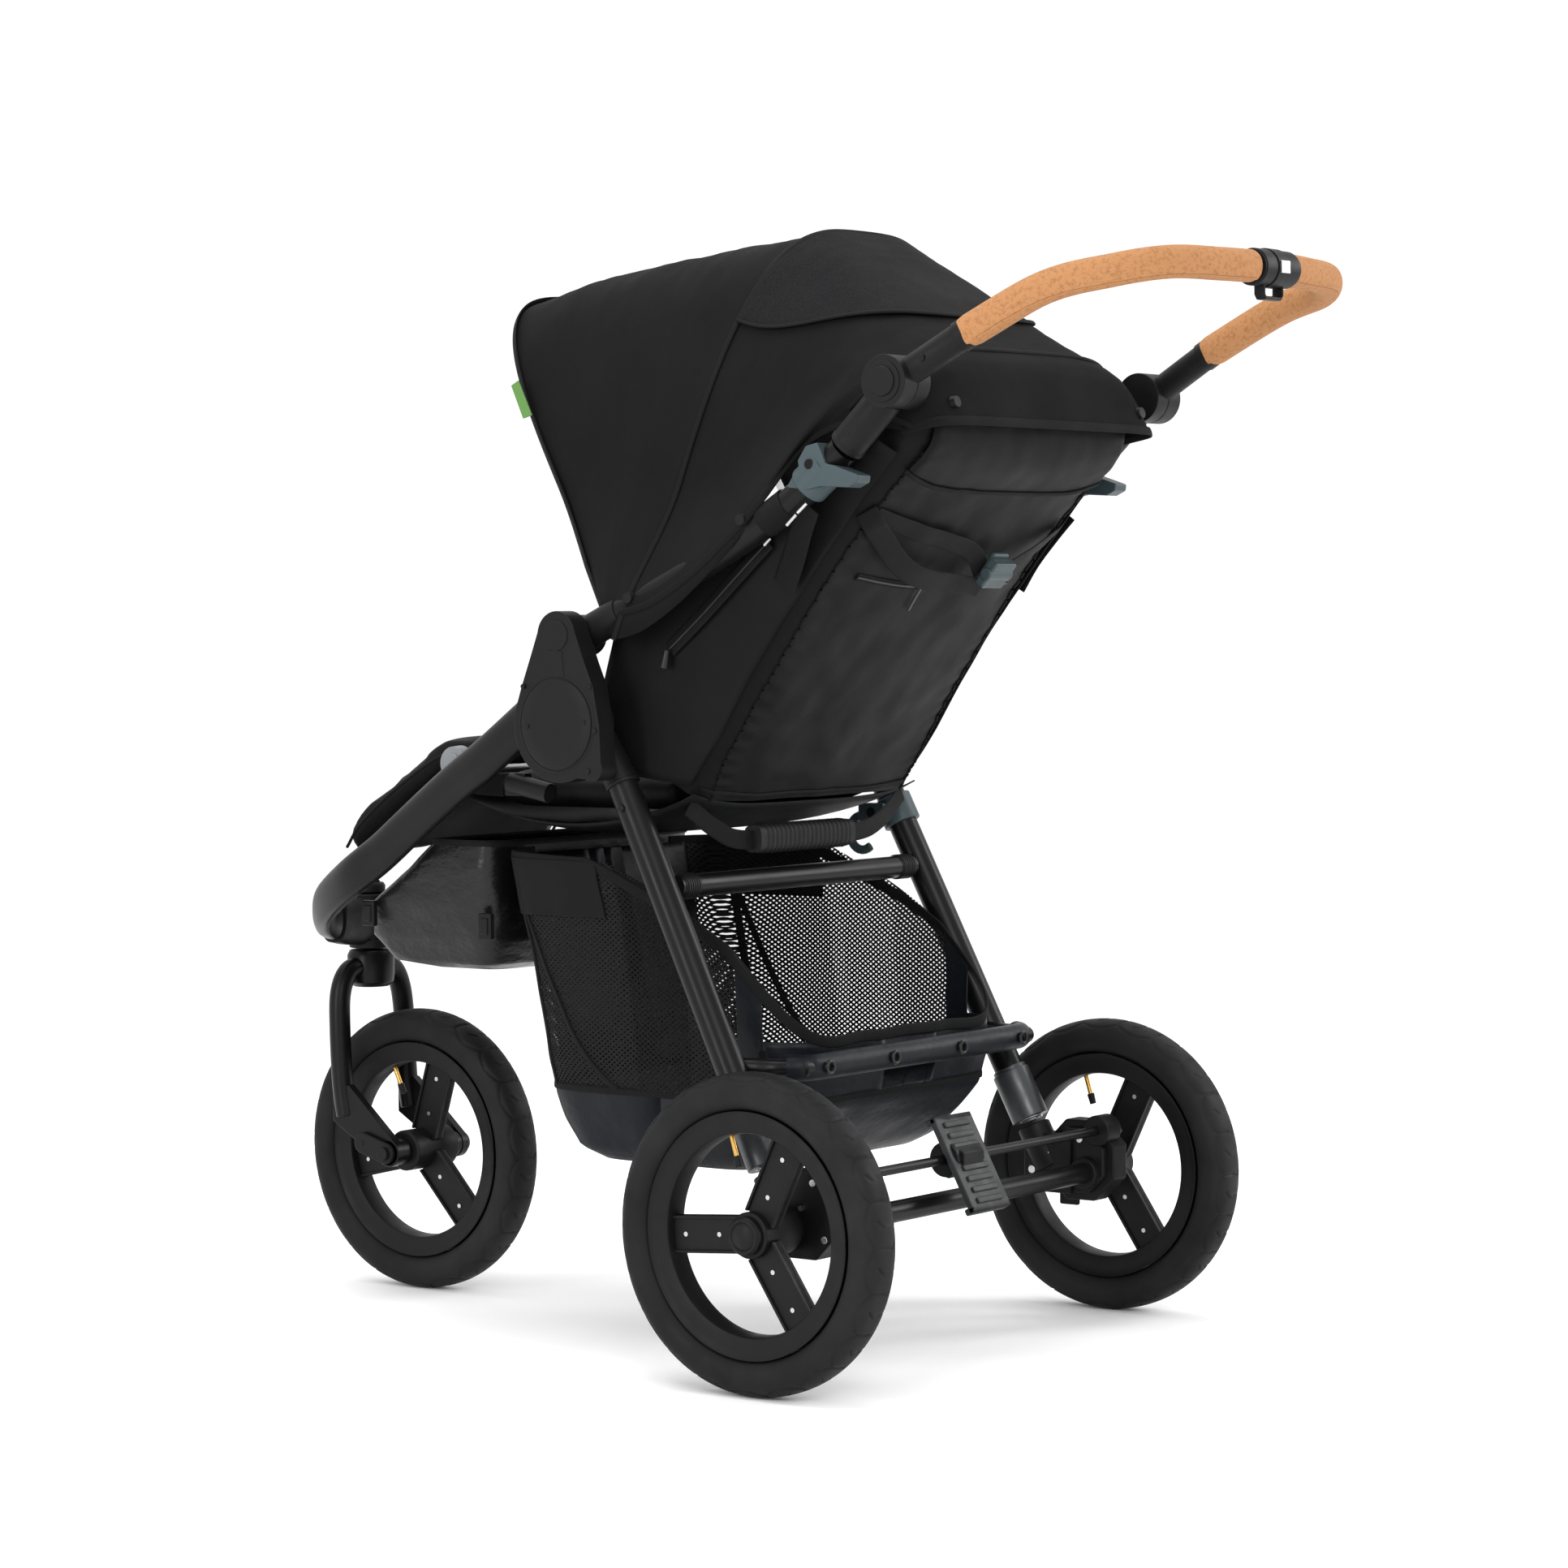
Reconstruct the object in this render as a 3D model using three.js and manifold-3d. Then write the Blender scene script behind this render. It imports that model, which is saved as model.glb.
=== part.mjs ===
// Three-wheel all-terrain baby stroller, rear wheels fixed, front wheel on a swivel fork.
// Millimetres, +Z up, front towards -Y, the rider's left side towards +X.
import * as THREE from 'three';
import { mergeVertices } from 'three/addons/utils/BufferGeometryUtils.js';
import { RoundedBoxGeometry } from 'three/addons/geometries/RoundedBoxGeometry.js';
import Module from 'manifold-3d';

const wasm = await Module();
wasm.setup();

// Driving dimensions. Y is counted from the rear axle, and AXLE_Y moves the whole object so that
// the frame's origin lies on the ground below the middle of the overall box.
const AXLE_Y = 234.3;
const WHEEL_RADIUS = 158.75;
const TYRE_WIDTH = 49;
const RIM_RADIUS = 119.6;
const RIM_INNER = 99;
const HALF_TRACK = 315.2;
const WHEELBASE = 722;
const STEER_Y = -800;
const HUB = [-291, 651.6];
const FOLD_PIVOT = [-291, 742];
const CANOPY_PIVOT = [-258, 742];
const HANDLE_PIVOT = [112.3, 984.8];
const LEGREST_PIVOT = [-490, 600];
const BRAKE_ROD = [41, 206];
const AXLE_TUBE = [27, 160];
const LEG_TUBE = 16;
const UPPER_TUBE = 15.5;
const GAP = 0.3;

const finishes = {
  frame: { color: 0x17181a, roughness: 0.38, metalness: 0.5 },
  plastic: { color: 0x141416, roughness: 0.55, metalness: 0 },
  slate: { color: 0x4d6068, roughness: 0.5, metalness: 0 },
  cork: { color: 0xb87a48, roughness: 0.85, metalness: 0 },
  fabric: { color: 0x0c0c0e, roughness: 0.95, metalness: 0 },
  mesh: { color: 0x101216, roughness: 0.9, metalness: 0 },
  rubber: { color: 0x18181a, roughness: 0.9, metalness: 0 },
  steel: { color: 0xa8aaac, roughness: 0.35, metalness: 0.9 },
};

const stroller = new THREE.Group();
stroller.position.y = AXLE_Y;

function add(name, geometry, finish) {
  const mesh = new THREE.Mesh(geometry, new THREE.MeshStandardMaterial(finishes[finish]));
  mesh.name = name;
  stroller.add(mesh);
}

// A left piece and its mirror image on the right.
function addPair(name, geometry, finish) {
  add(`${name}_left`, geometry, finish);
  add(`${name}_right`, mirrored(geometry), finish);
}

function welded(geometry) {
  const bare = new THREE.BufferGeometry();
  bare.setAttribute('position', geometry.getAttribute('position').clone());
  if (geometry.index) bare.setIndex(geometry.index.clone());
  return mergeVertices(bare, 1e-3);
}

function flipped(geometry) {
  const index = geometry.index.array;
  for (let i = 0; i < index.length; i += 3) {
    const first = index[i];
    index[i] = index[i + 1];
    index[i + 1] = first;
  }
  return geometry;
}

function facingOut(geometry) {
  const p = geometry.getAttribute('position');
  const index = geometry.index.array;
  const [a, b, c] = [new THREE.Vector3(), new THREE.Vector3(), new THREE.Vector3()];
  let volume = 0;
  for (let i = 0; i < index.length; i += 3) {
    a.fromBufferAttribute(p, index[i]);
    b.fromBufferAttribute(p, index[i + 1]);
    c.fromBufferAttribute(p, index[i + 2]);
    volume += a.dot(b.cross(c));
  }
  return volume < 0 ? flipped(geometry) : geometry;
}

function mirrored(geometry) {
  const copy = geometry.clone();
  copy.scale(-1, 1, 1);
  return flipped(copy);
}

function solid(geometry) {
  const closed = facingOut(welded(geometry));
  const vertProperties = new Float32Array(closed.getAttribute('position').array);
  const triVerts = new Uint32Array(closed.index.array);
  return new wasm.Manifold(new wasm.Mesh({ numProp: 3, vertProperties, triVerts }));
}

function shaped(manifold) {
  const mesh = manifold.getMesh();
  const geometry = new THREE.BufferGeometry();
  geometry.setAttribute('position', new THREE.BufferAttribute(new Float32Array(mesh.vertProperties), 3));
  geometry.setIndex(new THREE.BufferAttribute(new Uint32Array(mesh.triVerts), 1));
  return geometry;
}

function join(...pieces) {
  return pieces.map(solid).reduce((whole, piece) => whole.add(piece));
}

function cut(whole, ...holes) {
  return holes.map(solid).reduce((rest, hole) => rest.subtract(hole), whole);
}

const vec = (x, y, z) => new THREE.Vector3(x, y, z);

// A round bar between two points.
function rod(from, to, radius, sides = 16, endRadius = radius) {
  const length = from.distanceTo(to);
  const bar = new THREE.CylinderGeometry(endRadius, radius, length, sides);
  const turn = new THREE.Quaternion().setFromUnitVectors(vec(0, 1, 0), to.clone().sub(from).normalize());
  bar.applyQuaternion(turn);
  const middle = from.clone().add(to).multiplyScalar(0.5);
  bar.translate(middle.x, middle.y, middle.z);
  return facingOut(welded(bar));
}

// A disc or bar across the object, from x0 to x1, centred on [y, z].
function across([y, z], radius, x0, x1, sides = 20) {
  return rod(vec(x0, y, z), vec(x1, y, z), radius, sides);
}

function block(x0, x1, y0, y1, z0, z1, radius = 3) {
  const box = new RoundedBoxGeometry(x1 - x0, y1 - y0, z1 - z0, 1, radius);
  box.translate((x0 + x1) / 2, (y0 + y1) / 2, (z0 + z1) / 2);
  return facingOut(welded(box));
}

// A side outline in Y and Z, drawn out across X.
function plate(shape, x0, x1, curveSegments = 5) {
  const flat = new THREE.ExtrudeGeometry(shape, { depth: x1 - x0, bevelEnabled: false, curveSegments });
  const turn = new THREE.Matrix4().set(0, 0, 1, x0, 1, 0, 0, 0, 0, 1, 0, 0, 0, 0, 0, 1);
  flat.applyMatrix4(turn);
  return facingOut(welded(flat));
}

function outline(points) {
  return new THREE.Shape(points.map(([y, z]) => new THREE.Vector2(y, z)));
}

// A tube along a curve; a wall of 0 makes a solid bar.
function tube(curve, radius, bore, steps, sides) {
  const section = new THREE.Shape();
  section.absarc(0, 0, radius, 0, 2 * Math.PI);
  if (bore > 0) {
    const hole = new THREE.Path();
    hole.absarc(0, 0, bore, 0, 2 * Math.PI, true);
    section.holes.push(hole);
  }
  const settings = { steps, curveSegments: sides / 2, bevelEnabled: false, extrudePath: curve };
  return facingOut(welded(new THREE.ExtrudeGeometry(section, settings)));
}

// A closed skin through rings of equally many points, with flat ends.
function loft(rings) {
  const count = rings[0].length;
  const points = rings.flat();
  const index = [];
  for (let r = 0; r + 1 < rings.length; r++) {
    for (let i = 0; i < count; i++) {
      const a = r * count + i;
      const b = r * count + (i + 1) % count;
      index.push(a, b, b + count, a, b + count, a + count);
    }
  }
  for (const r of [0, rings.length - 1]) {
    const ring = rings[r].map((p) => p);
    const normal = new THREE.Vector3();
    for (let i = 1; i + 1 < count; i++) {
      const u = ring[i].clone().sub(ring[0]);
      normal.add(u.cross(ring[i + 1].clone().sub(ring[0])));
    }
    normal.normalize();
    const side = Math.abs(normal.x) > 0.9 ? vec(0, 1, 0) : vec(1, 0, 0);
    side.addScaledVector(normal, -side.dot(normal)).normalize();
    const rise = new THREE.Vector3().crossVectors(normal, side);
    const flat = ring.map((p) => new THREE.Vector2(p.dot(side), p.dot(rise)));
    for (const [i, j, k] of THREE.ShapeUtils.triangulateShape(flat, [])) {
      const base = r * count;
      if (r === 0) index.push(base + i, base + k, base + j);
      else index.push(base + i, base + j, base + k);
    }
  }
  const geometry = new THREE.BufferGeometry();
  geometry.setFromPoints(points);
  geometry.setIndex(index);
  return facingOut(welded(geometry));
}

const power = (value, exponent) => Math.sign(value) * Math.abs(value) ** exponent;

// A superellipse with half axes a and b about a centre, spanned by two directions.
function oval(centre, sideways, upwards, a, b, exponent, count) {
  const ring = [];
  for (let i = 0; i < count; i++) {
    const angle = (2 * Math.PI * i) / count;
    const u = a * power(Math.cos(angle), 2 / exponent);
    const v = b * power(Math.sin(angle), 2 / exponent);
    ring.push(centre.clone().addScaledVector(sideways, u).addScaledVector(upwards, v));
  }
  return ring;
}

// An upright oval section swept along a curve.
function ovalBar(curve, from, to, steps, width, height, exponent = 2.4, count = 12) {
  const rings = [];
  for (let i = 0; i <= steps; i++) {
    const t = from + ((to - from) * i) / steps;
    const tangent = curve.getTangent(t);
    const sideways = new THREE.Vector3().crossVectors(tangent, vec(0, 0, 1)).normalize();
    const upwards = new THREE.Vector3().crossVectors(sideways, tangent);
    rings.push(oval(curve.getPoint(t), sideways, upwards, width / 2, height / 2, exponent, count));
  }
  return loft(rings);
}

// ---------------------------------------------------------------- wheels

function tyre(x, y) {
  const profile = [];
  const beadRadius = RIM_RADIUS + 0.6;
  const middle = (WHEEL_RADIUS + beadRadius) / 2;
  const half = (WHEEL_RADIUS - beadRadius) / 2;
  for (let i = 0; i <= 10; i++) {
    const angle = (2 * Math.PI * (i % 10)) / 10;
    const width = (TYRE_WIDTH / 2) * power(Math.sin(angle), 0.8);
    profile.push(new THREE.Vector2(middle + half * power(Math.cos(angle), 0.85), width));
  }
  return wheelPart(new THREE.LatheGeometry(profile, 24), x, y);
}

function wheelPart(geometry, x, y) {
  geometry.rotateZ(-Math.PI / 2);
  geometry.translate(x, y, WHEEL_RADIUS);
  return facingOut(welded(geometry));
}

function lathe(points, segments = 24) {
  return new THREE.LatheGeometry(points.map(([r, h]) => new THREE.Vector2(r, h)), segments);
}

// Rim, three flat spokes and the hub barrel, in one casting.
function rim(x, y, hubIn, hubOut, phase) {
  const ring = lathe([[RIM_INNER, -17], [RIM_RADIUS, -18], [RIM_RADIUS, 18], [RIM_INNER, 17], [RIM_INNER, -17]]);
  const hub = lathe([[0, hubIn], [24, hubIn], [22, 0], [20, hubOut], [0, hubOut]], 16);
  const spokes = [];
  for (let i = 0; i < 3; i++) {
    const angle = phase + (i * 2 * Math.PI) / 3;
    const spoke = new THREE.BoxGeometry(37, RIM_INNER - 14, 11);
    spoke.translate(0, (RIM_INNER + 18) / 2, 0);
    spoke.rotateX(Math.PI / 2);
    spoke.rotateZ(Math.PI / 2);
    spoke.applyMatrix4(new THREE.Matrix4().makeRotationX(angle));
    spoke.translate(x, y, WHEEL_RADIUS);
    spokes.push(spoke);
  }
  return join(wheelPart(ring, x, y), wheelPart(hub, x, y), ...spokes);
}

const SPOKE_PHASE = 0.56;
const HUB_IN = -44;
const HUB_OUT = 14;
const AXLE_STUB = 7.6;
const RATCHET_TEETH = 12;
const RATCHET_ROOT = 23;
const RATCHET_TIP = 31;
const PIN_ANGLE = (50 * Math.PI) / 180;
const PIN_RING = 27.2;

// The toothed ring on the inner end of a rear hub, where the parking pin drops in.
function ratchet(x0, x1) {
  const shape = new THREE.Shape();
  const pitch = (2 * Math.PI) / RATCHET_TEETH;
  for (let i = 0; i < RATCHET_TEETH; i++) {
    const gap = PIN_ANGLE + i * pitch;
    for (const [turn, radius] of [[-0.3, RATCHET_ROOT], [0.3, RATCHET_ROOT], [0.34, RATCHET_TIP], [0.66, RATCHET_TIP]]) {
      const angle = gap + turn * pitch;
      const y = radius * Math.cos(angle);
      const z = WHEEL_RADIUS + radius * Math.sin(angle);
      if (i === 0 && turn === -0.3) shape.moveTo(y, z);
      else shape.lineTo(y, z);
    }
  }
  shape.closePath();
  return plate(shape, x0, x1);
}

const rearRim = (() => {
  const wheel = rim(HALF_TRACK, 0, HUB_IN, HUB_OUT, SPOKE_PHASE);
  const toothed = wheel.add(solid(ratchet(HALF_TRACK + HUB_IN - 0.5, HALF_TRACK + HUB_IN + 7)));
  const bore = across([0, WHEEL_RADIUS], AXLE_STUB + 0.5, 200, 400, 16);
  return shaped(cut(toothed, bore));
})();
addPair('rear_tyre', tyre(HALF_TRACK, 0), 'rubber');
addPair('rear_wheel_rim', rearRim, 'plastic');
const capBase = HALF_TRACK + HUB_OUT + GAP;
const hubCap = lathe([[0, 0], [17.5, 0], [17.5, 6], [14, 9], [0, 10]], 20);
hubCap.rotateZ(-Math.PI / 2);
hubCap.translate(capBase, 0, WHEEL_RADIUS);
addPair('rear_hub_cap', facingOut(welded(hubCap)), 'plastic');

const frontRim = cut(
  rim(0, -WHEELBASE, -34, 34, SPOKE_PHASE),
  across([-WHEELBASE, WHEEL_RADIUS], 6.5, -60, 60, 12),
);
add('front_tyre', tyre(0, -WHEELBASE), 'rubber');
add('front_wheel_rim', shaped(frontRim), 'plastic');

// ---------------------------------------------------------------- fork and steering head

const FORK_HALF = 54;
const CROWN_TOP = 384;
const forkLeg = tube(
  new THREE.CatmullRomCurve3([
    vec(14, STEER_Y, 362), vec(38, STEER_Y - 1, 357), vec(51, STEER_Y - 1, 332),
    vec(FORK_HALF, STEER_Y + 1, 292), vec(FORK_HALF, STEER_Y + 4, 230), vec(FORK_HALF, STEER_Y + 9, 196),
  ]), 12, 0, 8, 10);
const dropout = new THREE.Shape();
dropout.moveTo(STEER_Y - 4, 226);
dropout.lineTo(STEER_Y + 20, 226);
dropout.lineTo(-WHEELBASE + 10, WHEEL_RADIUS + 17);
dropout.absarc(-WHEELBASE, WHEEL_RADIUS, 16, 0.9, -2.3, true);
dropout.lineTo(STEER_Y - 2, 188);
dropout.closePath();
const dropoutPlate = plate(dropout, FORK_HALF - 7, FORK_HALF + 7);
const crown = rod(vec(0, STEER_Y, 340), vec(0, STEER_Y, CROWN_TOP), 27, 18);
const stem = rod(vec(0, STEER_Y, 380), vec(0, STEER_Y, 438), 11, 12);
const fork = join(crown, stem, forkLeg, mirrored(forkLeg), dropoutPlate, mirrored(dropoutPlate));
const axleHole = across([-WHEELBASE, WHEEL_RADIUS], 6.5, -90, 90, 12);
add('front_fork', shaped(cut(fork, axleHole)), 'frame');

// Stadium-shaped covers over the ends of the front axle.
const endCover = new THREE.Shape();
endCover.absarc(-WHEELBASE, WHEEL_RADIUS, 11.5, -Math.PI / 2, Math.PI / 2);
endCover.absarc(-WHEELBASE - 32, WHEEL_RADIUS + 10, 11.5, Math.PI / 2, (3 * Math.PI) / 2);
endCover.closePath();
const endPlate = plate(endCover, FORK_HALF + 7 + GAP, FORK_HALF + 13);
const axleBolt = across([-WHEELBASE, WHEEL_RADIUS], 6, -65, 65, 12);
add('front_axle', shaped(join(axleBolt, endPlate, mirrored(endPlate))), 'steel');

const frontCurve = new THREE.CatmullRomCurve3([
  vec(237, -343, 665), vec(227, -419, 618), vec(219, -466, 592.5), vec(211, -514, 564), vec(204, -556, 538),
  vec(198, -600, 510), vec(190, -655, 480), vec(160, -717, 451), vec(118, -759, 432.5), vec(80, -781, 423),
  vec(45, -793, 417.5), vec(0, -798, 415), vec(-45, -793, 417.5), vec(-80, -781, 423),
]);
const headStart = 10 / 13;
const headEnd = 12 / 13;
addPair('front_frame_tube', ovalBar(frontCurve, 0.0006, headStart - 0.003, 16, 25, 50), 'frame');
const headBar = ovalBar(frontCurve, headStart, headEnd, 8, 30, 54);
const headBoss = rod(vec(0, STEER_Y, 385), vec(0, STEER_Y, 446), 23, 18);
const headBore = rod(vec(0, STEER_Y, 380), vec(0, STEER_Y, 438.5), 11.7, 12);
add('swivel_housing', shaped(cut(join(headBar, headBoss), headBore)), 'plastic');
const knob = lathe([[0, 0], [16, 0], [17.5, 3], [17.5, 11], [14, 14], [0, 14]], 20);
knob.rotateX(Math.PI / 2);
knob.translate(0, STEER_Y, 446 + GAP);
add('swivel_lock_knob', facingOut(welded(knob)), 'plastic');

// ---------------------------------------------------------------- side hubs

const HUB_IN_X = 240;
const HUB_OUT_X = 265;
const KNUCKLE_IN = 207;
const KNUCKLE_OUT = 237;
const teardrop = new THREE.Shape();
teardrop.absarc(FOLD_PIVOT[0], FOLD_PIVOT[1], 25, Math.PI - 0.2, 0.15, true);
teardrop.lineTo(HUB[0] + 59, HUB[1] - 30);
teardrop.absarc(HUB[0] + 47, HUB[1] - 36, 12, 0.2, -1.1, true);
teardrop.absarc(HUB[0] + 2, HUB[1] - 1, 59, -1.15, -3.5, true);
teardrop.closePath();
const hubPlate = plate(teardrop, HUB_IN_X, HUB_OUT_X, 6);
const hubSolid = join(
  hubPlate,
  across(HUB, 8, KNUCKLE_IN - 6, HUB_IN_X + 5, 12),
  across(FOLD_PIVOT, 5, KNUCKLE_IN - 6, HUB_IN_X + 5, 12),
  block(226, 246, HUB[0] - 57, HUB[0] - 33, 640, 690, 4),
);
const hubCut = cut(
  hubSolid,
  across(HUB, 47.4, HUB_OUT_X - 3, HUB_OUT_X + 10, 24),
  ovalBar(frontCurve, 0, 0.1, 2, 27, 52),
);
addPair('hub_housing', shaped(hubCut), 'plastic');
addPair('hub_cover', across(HUB, 46.8, HUB_OUT_X - 2.7, HUB_OUT_X + 1.2, 24), 'plastic');

// ---------------------------------------------------------------- rear legs

const legDirection = vec(0.0277, 0.4513, -0.8919);
const legPoint = (z) => vec(222.1, -243.7, 600).addScaledVector(legDirection, (600 - z) / 0.8919);
const LEG_END_Z = 236;
const legTube = tube(new THREE.LineCurve3(legPoint(596), legPoint(LEG_END_Z)), LEG_TUBE, LEG_TUBE - 3, 1, 14);
const legKnuckle = [across(HUB, 30, KNUCKLE_IN, KNUCKLE_OUT), rod(vec(222, -276, 645), legPoint(590), 17.4)];
const legBore = across(HUB, 8.5, 190, 250, 12);
addPair('rear_leg', shaped(cut(join(legTube, ...legKnuckle), legBore)), 'frame');
const CROSSBAR_Z = 485;
const crossEnd = legPoint(CROSSBAR_Z);
const crossX = crossEnd.x - LEG_TUBE - GAP - 0.2;
add('leg_crossbar', across([crossEnd.y, CROSSBAR_Z], 12, -crossX, crossX, 24), 'frame');
const BASKET_BAR_Z = 308.4;
const BASKET_BAR_Y = -28;
const barFoot = legPoint(BASKET_BAR_Z);
const barBend = [[214, -75], [209, -50], [193, -33], [165, BASKET_BAR_Y]];
const barSide = [vec(barFoot.x - 10, barFoot.y, BASKET_BAR_Z), ...barBend.map(([x, y]) => vec(x, y, BASKET_BAR_Z))];
const barOther = [...barSide].reverse().map((p) => vec(-p.x, p.y, p.z));
const basketBar = cut(
  join(tube(new THREE.CatmullRomCurve3([...barSide, ...barOther]), 9, 0, 14, 8)),
  rod(legPoint(400), legPoint(200), LEG_TUBE + 0.8),
  mirrored(rod(legPoint(400), legPoint(200), LEG_TUBE + 0.8)),
);
add('basket_rear_bar', shaped(basketBar), 'frame');

// A webbing clamp with its hook on the right leg.
const clampTop = legPoint(558);
const clampLow = legPoint(528);
const clampBody = join(
  rod(clampLow, clampTop, LEG_TUBE + 5.5),
  block(192, 208, clampTop.y - 22, clampTop.y + 12, 531, 553, 4),
);
const clampCut = cut(clampBody, rod(legPoint(500), legPoint(590), LEG_TUBE + 0.8));
add('leg_strap_clamp', mirrored(shaped(clampCut)), 'slate');

// ---------------------------------------------------------------- rear axle and brake

const sleeve = rod(legPoint(150), legPoint(262), 20.5);
const sleeveBore = rod(legPoint(206), legPoint(300), LEG_TUBE + 1.2);
const carrierFace = across([12, 173], 46, 250, 262, 8);
const carrier = cut(
  join(
    sleeve,
    block(223, 252, -48, 44, 134, 206, 6),
    carrierFace,
    across(BRAKE_ROD, 15, 226, 252, 14),
    across([0, WHEEL_RADIUS], AXLE_STUB, 255, HALF_TRACK + HUB_OUT - 1, 12),
  ),
  sleeveBore,
  across(BRAKE_ROD, 5.6, 215, 247, 12),
  across([PIN_RING * Math.cos(PIN_ANGLE), WHEEL_RADIUS + PIN_RING * Math.sin(PIN_ANGLE)], 3.1, 236, 270, 10),
);
addPair('suspension_carrier', shaped(carrier), 'plastic');
add('axle_tube', across(AXLE_TUBE, 11, -223 + GAP, 223 - GAP, 24), 'frame');

// Suspension springs between the leg's open end and the floor of the sleeve.
const SPRING_TURNS = 4;
const springFoot = legPoint(208.5);
const springHead = legPoint(LEG_END_Z - 2.5);
class Coil extends THREE.Curve {
  getPoint(t, target = new THREE.Vector3()) {
    const axis = legDirection.clone().negate();
    const sideways = vec(1, 0, 0).addScaledVector(axis, -axis.x).normalize();
    const upwards = new THREE.Vector3().crossVectors(axis, sideways);
    const angle = 2 * Math.PI * SPRING_TURNS * t;
    return target.lerpVectors(springFoot, springHead, t)
      .addScaledVector(sideways, 12 * Math.cos(angle)).addScaledVector(upwards, 12 * Math.sin(angle));
  }
}
addPair('suspension_spring', tube(new Coil(), 1.8, 0, SPRING_TURNS * 7, 4), 'steel');

const PEDAL_X = 30;
const pedalPlate = block(-33, 33, -4, 4, -53, 53, 3);
pedalPlate.rotateX(0.5);
pedalPlate.translate(PEDAL_X, BRAKE_ROD[0] + 15, BRAKE_ROD[1] - 4);
const pedal = join(
  pedalPlate,
  across(BRAKE_ROD, 17, PEDAL_X - 20, PEDAL_X + 34, 16),
  across(BRAKE_ROD, 5, -244, 244, 12),
);
add('brake_pedal', shaped(pedal), 'plastic');
const pinCentre = [PIN_RING * Math.cos(PIN_ANGLE), WHEEL_RADIUS + PIN_RING * Math.sin(PIN_ANGLE)];
addPair('brake_pin', across(pinCentre, 2.8, 238, 267, 8), 'steel');

// ---------------------------------------------------------------- upper frame

const upperCurve = new THREE.CatmullRomCurve3([
  vec(222, -246, 761), vec(222, -150, 803), vec(222, -80, 838), vec(222, -11, 877.5), vec(222, 46, 922.5),
]);
const upperTube = cut(
  join(
    tube(upperCurve, UPPER_TUBE, 0, 5, 14),
    across(FOLD_PIVOT, 21, KNUCKLE_IN, KNUCKLE_OUT),
    rod(vec(222, FOLD_PIVOT[0] + 6, FOLD_PIVOT[1] + 1), vec(222, -238, 764.5), 16.8),
    across(CANOPY_PIVOT, 5, 184, 215, 10),
  ),
  across(FOLD_PIVOT, 5.5, 190, 250, 12),
);
addPair('upper_frame_tube', shaped(upperTube), 'frame');

const HINGE_MID = 226.2;
const hingeSleeve = rod(vec(222, 50, 926.2), vec(222, 98, 971.5), 18);
const handleKnuckle = cut(
  join(hingeSleeve, across(HANDLE_PIVOT, 26, 205, HINGE_MID), across(HANDLE_PIVOT, 7, 205, 238, 20)),
  cutRing(26.6, HINGE_MID, 260),
);
addPair('handle_knuckle', shaped(handleKnuckle), 'plastic');

// Clears a hinge disc's space, but leaves the pin at its middle.
function cutRing(radius, x0, x1) {
  const outer = solid(across(HANDLE_PIVOT, radius, x0, x1));
  return shaped(outer.subtract(solid(across(HANDLE_PIVOT, 7, x0 - 1, x1 + 1, 20))));
}

const corkStart = vec(220.6, 191.1, 1028.4);
const armStart = vec(228, 120, 989);
const armSolid = join(
  rod(armStart, corkStart, 14.2),
  across(HANDLE_PIVOT, 26, HINGE_MID + GAP, 250),
);
const handleArm = cut(
  armSolid,
  across(HANDLE_PIVOT, 26.6, 190, HINGE_MID + GAP),
  across(HANDLE_PIVOT, 7 + GAP, 220, 239, 20),
  across(HANDLE_PIVOT, 15.4, 241, 260, 28),
);
addPair('handle_arm', shaped(handleArm), 'plastic');
addPair('handle_button', across(HANDLE_PIVOT, 15, 244.5, 253, 28), 'plastic');

// The bar: a bent aluminium tube, two cork sleeves and the middle clamp.
const CLAMP_HALF = 33;
const barLeft = [
  [220.6, 191.1, 1028.4], [213.8, 275.4, 1066.7], [191.1, 337.9, 1081.1], [145.2, 373, 1089.8],
  [76.7, 388, 1091.1], [CLAMP_HALF, 393, 1091.5],
];
const barPoints = barLeft.map(([x, y, z]) => vec(x, y, z));
const towardsArm = barPoints[0].clone().sub(corkStart.clone().lerp(armStart, 1)).normalize();
const tubeStart = barPoints[0].clone().addScaledVector(towardsArm, 3);
const gripCurve = new THREE.CatmullRomCurve3([tubeStart, ...barPoints.slice(1)]);
const barRight = [...barPoints.slice(1)].reverse().map((p) => vec(-p.x, p.y, p.z));
const barCurve = new THREE.CatmullRomCurve3([
  tubeStart, ...barPoints.slice(1), ...barRight, vec(-tubeStart.x, tubeStart.y, tubeStart.z),
]);
add('handlebar_tube', tube(barCurve, 10.2, 0, 30, 8), 'frame');
addPair('cork_grip', tube(gripCurve, 16.5, 11.8, 10, 10), 'cork');
const clampRing = rod(vec(-CLAMP_HALF + 2.5, 393.6, 1091.5), vec(CLAMP_HALF - 2.5, 393.6, 1091.5), 18.5, 20);
const clampLoop = block(-18, 18, 385, 402, 1060, 1080, 2);
const clampLoopHole = block(-13, 13, 380, 407, 1064, 1070, 1);
const clampBore = rod(vec(-40, 393.6, 1091.5), vec(40, 393.6, 1091.5), 11.8, 20);
add('handle_clamp', shaped(cut(join(clampRing, clampLoop), clampLoopHole, clampBore)), 'plastic');

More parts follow.
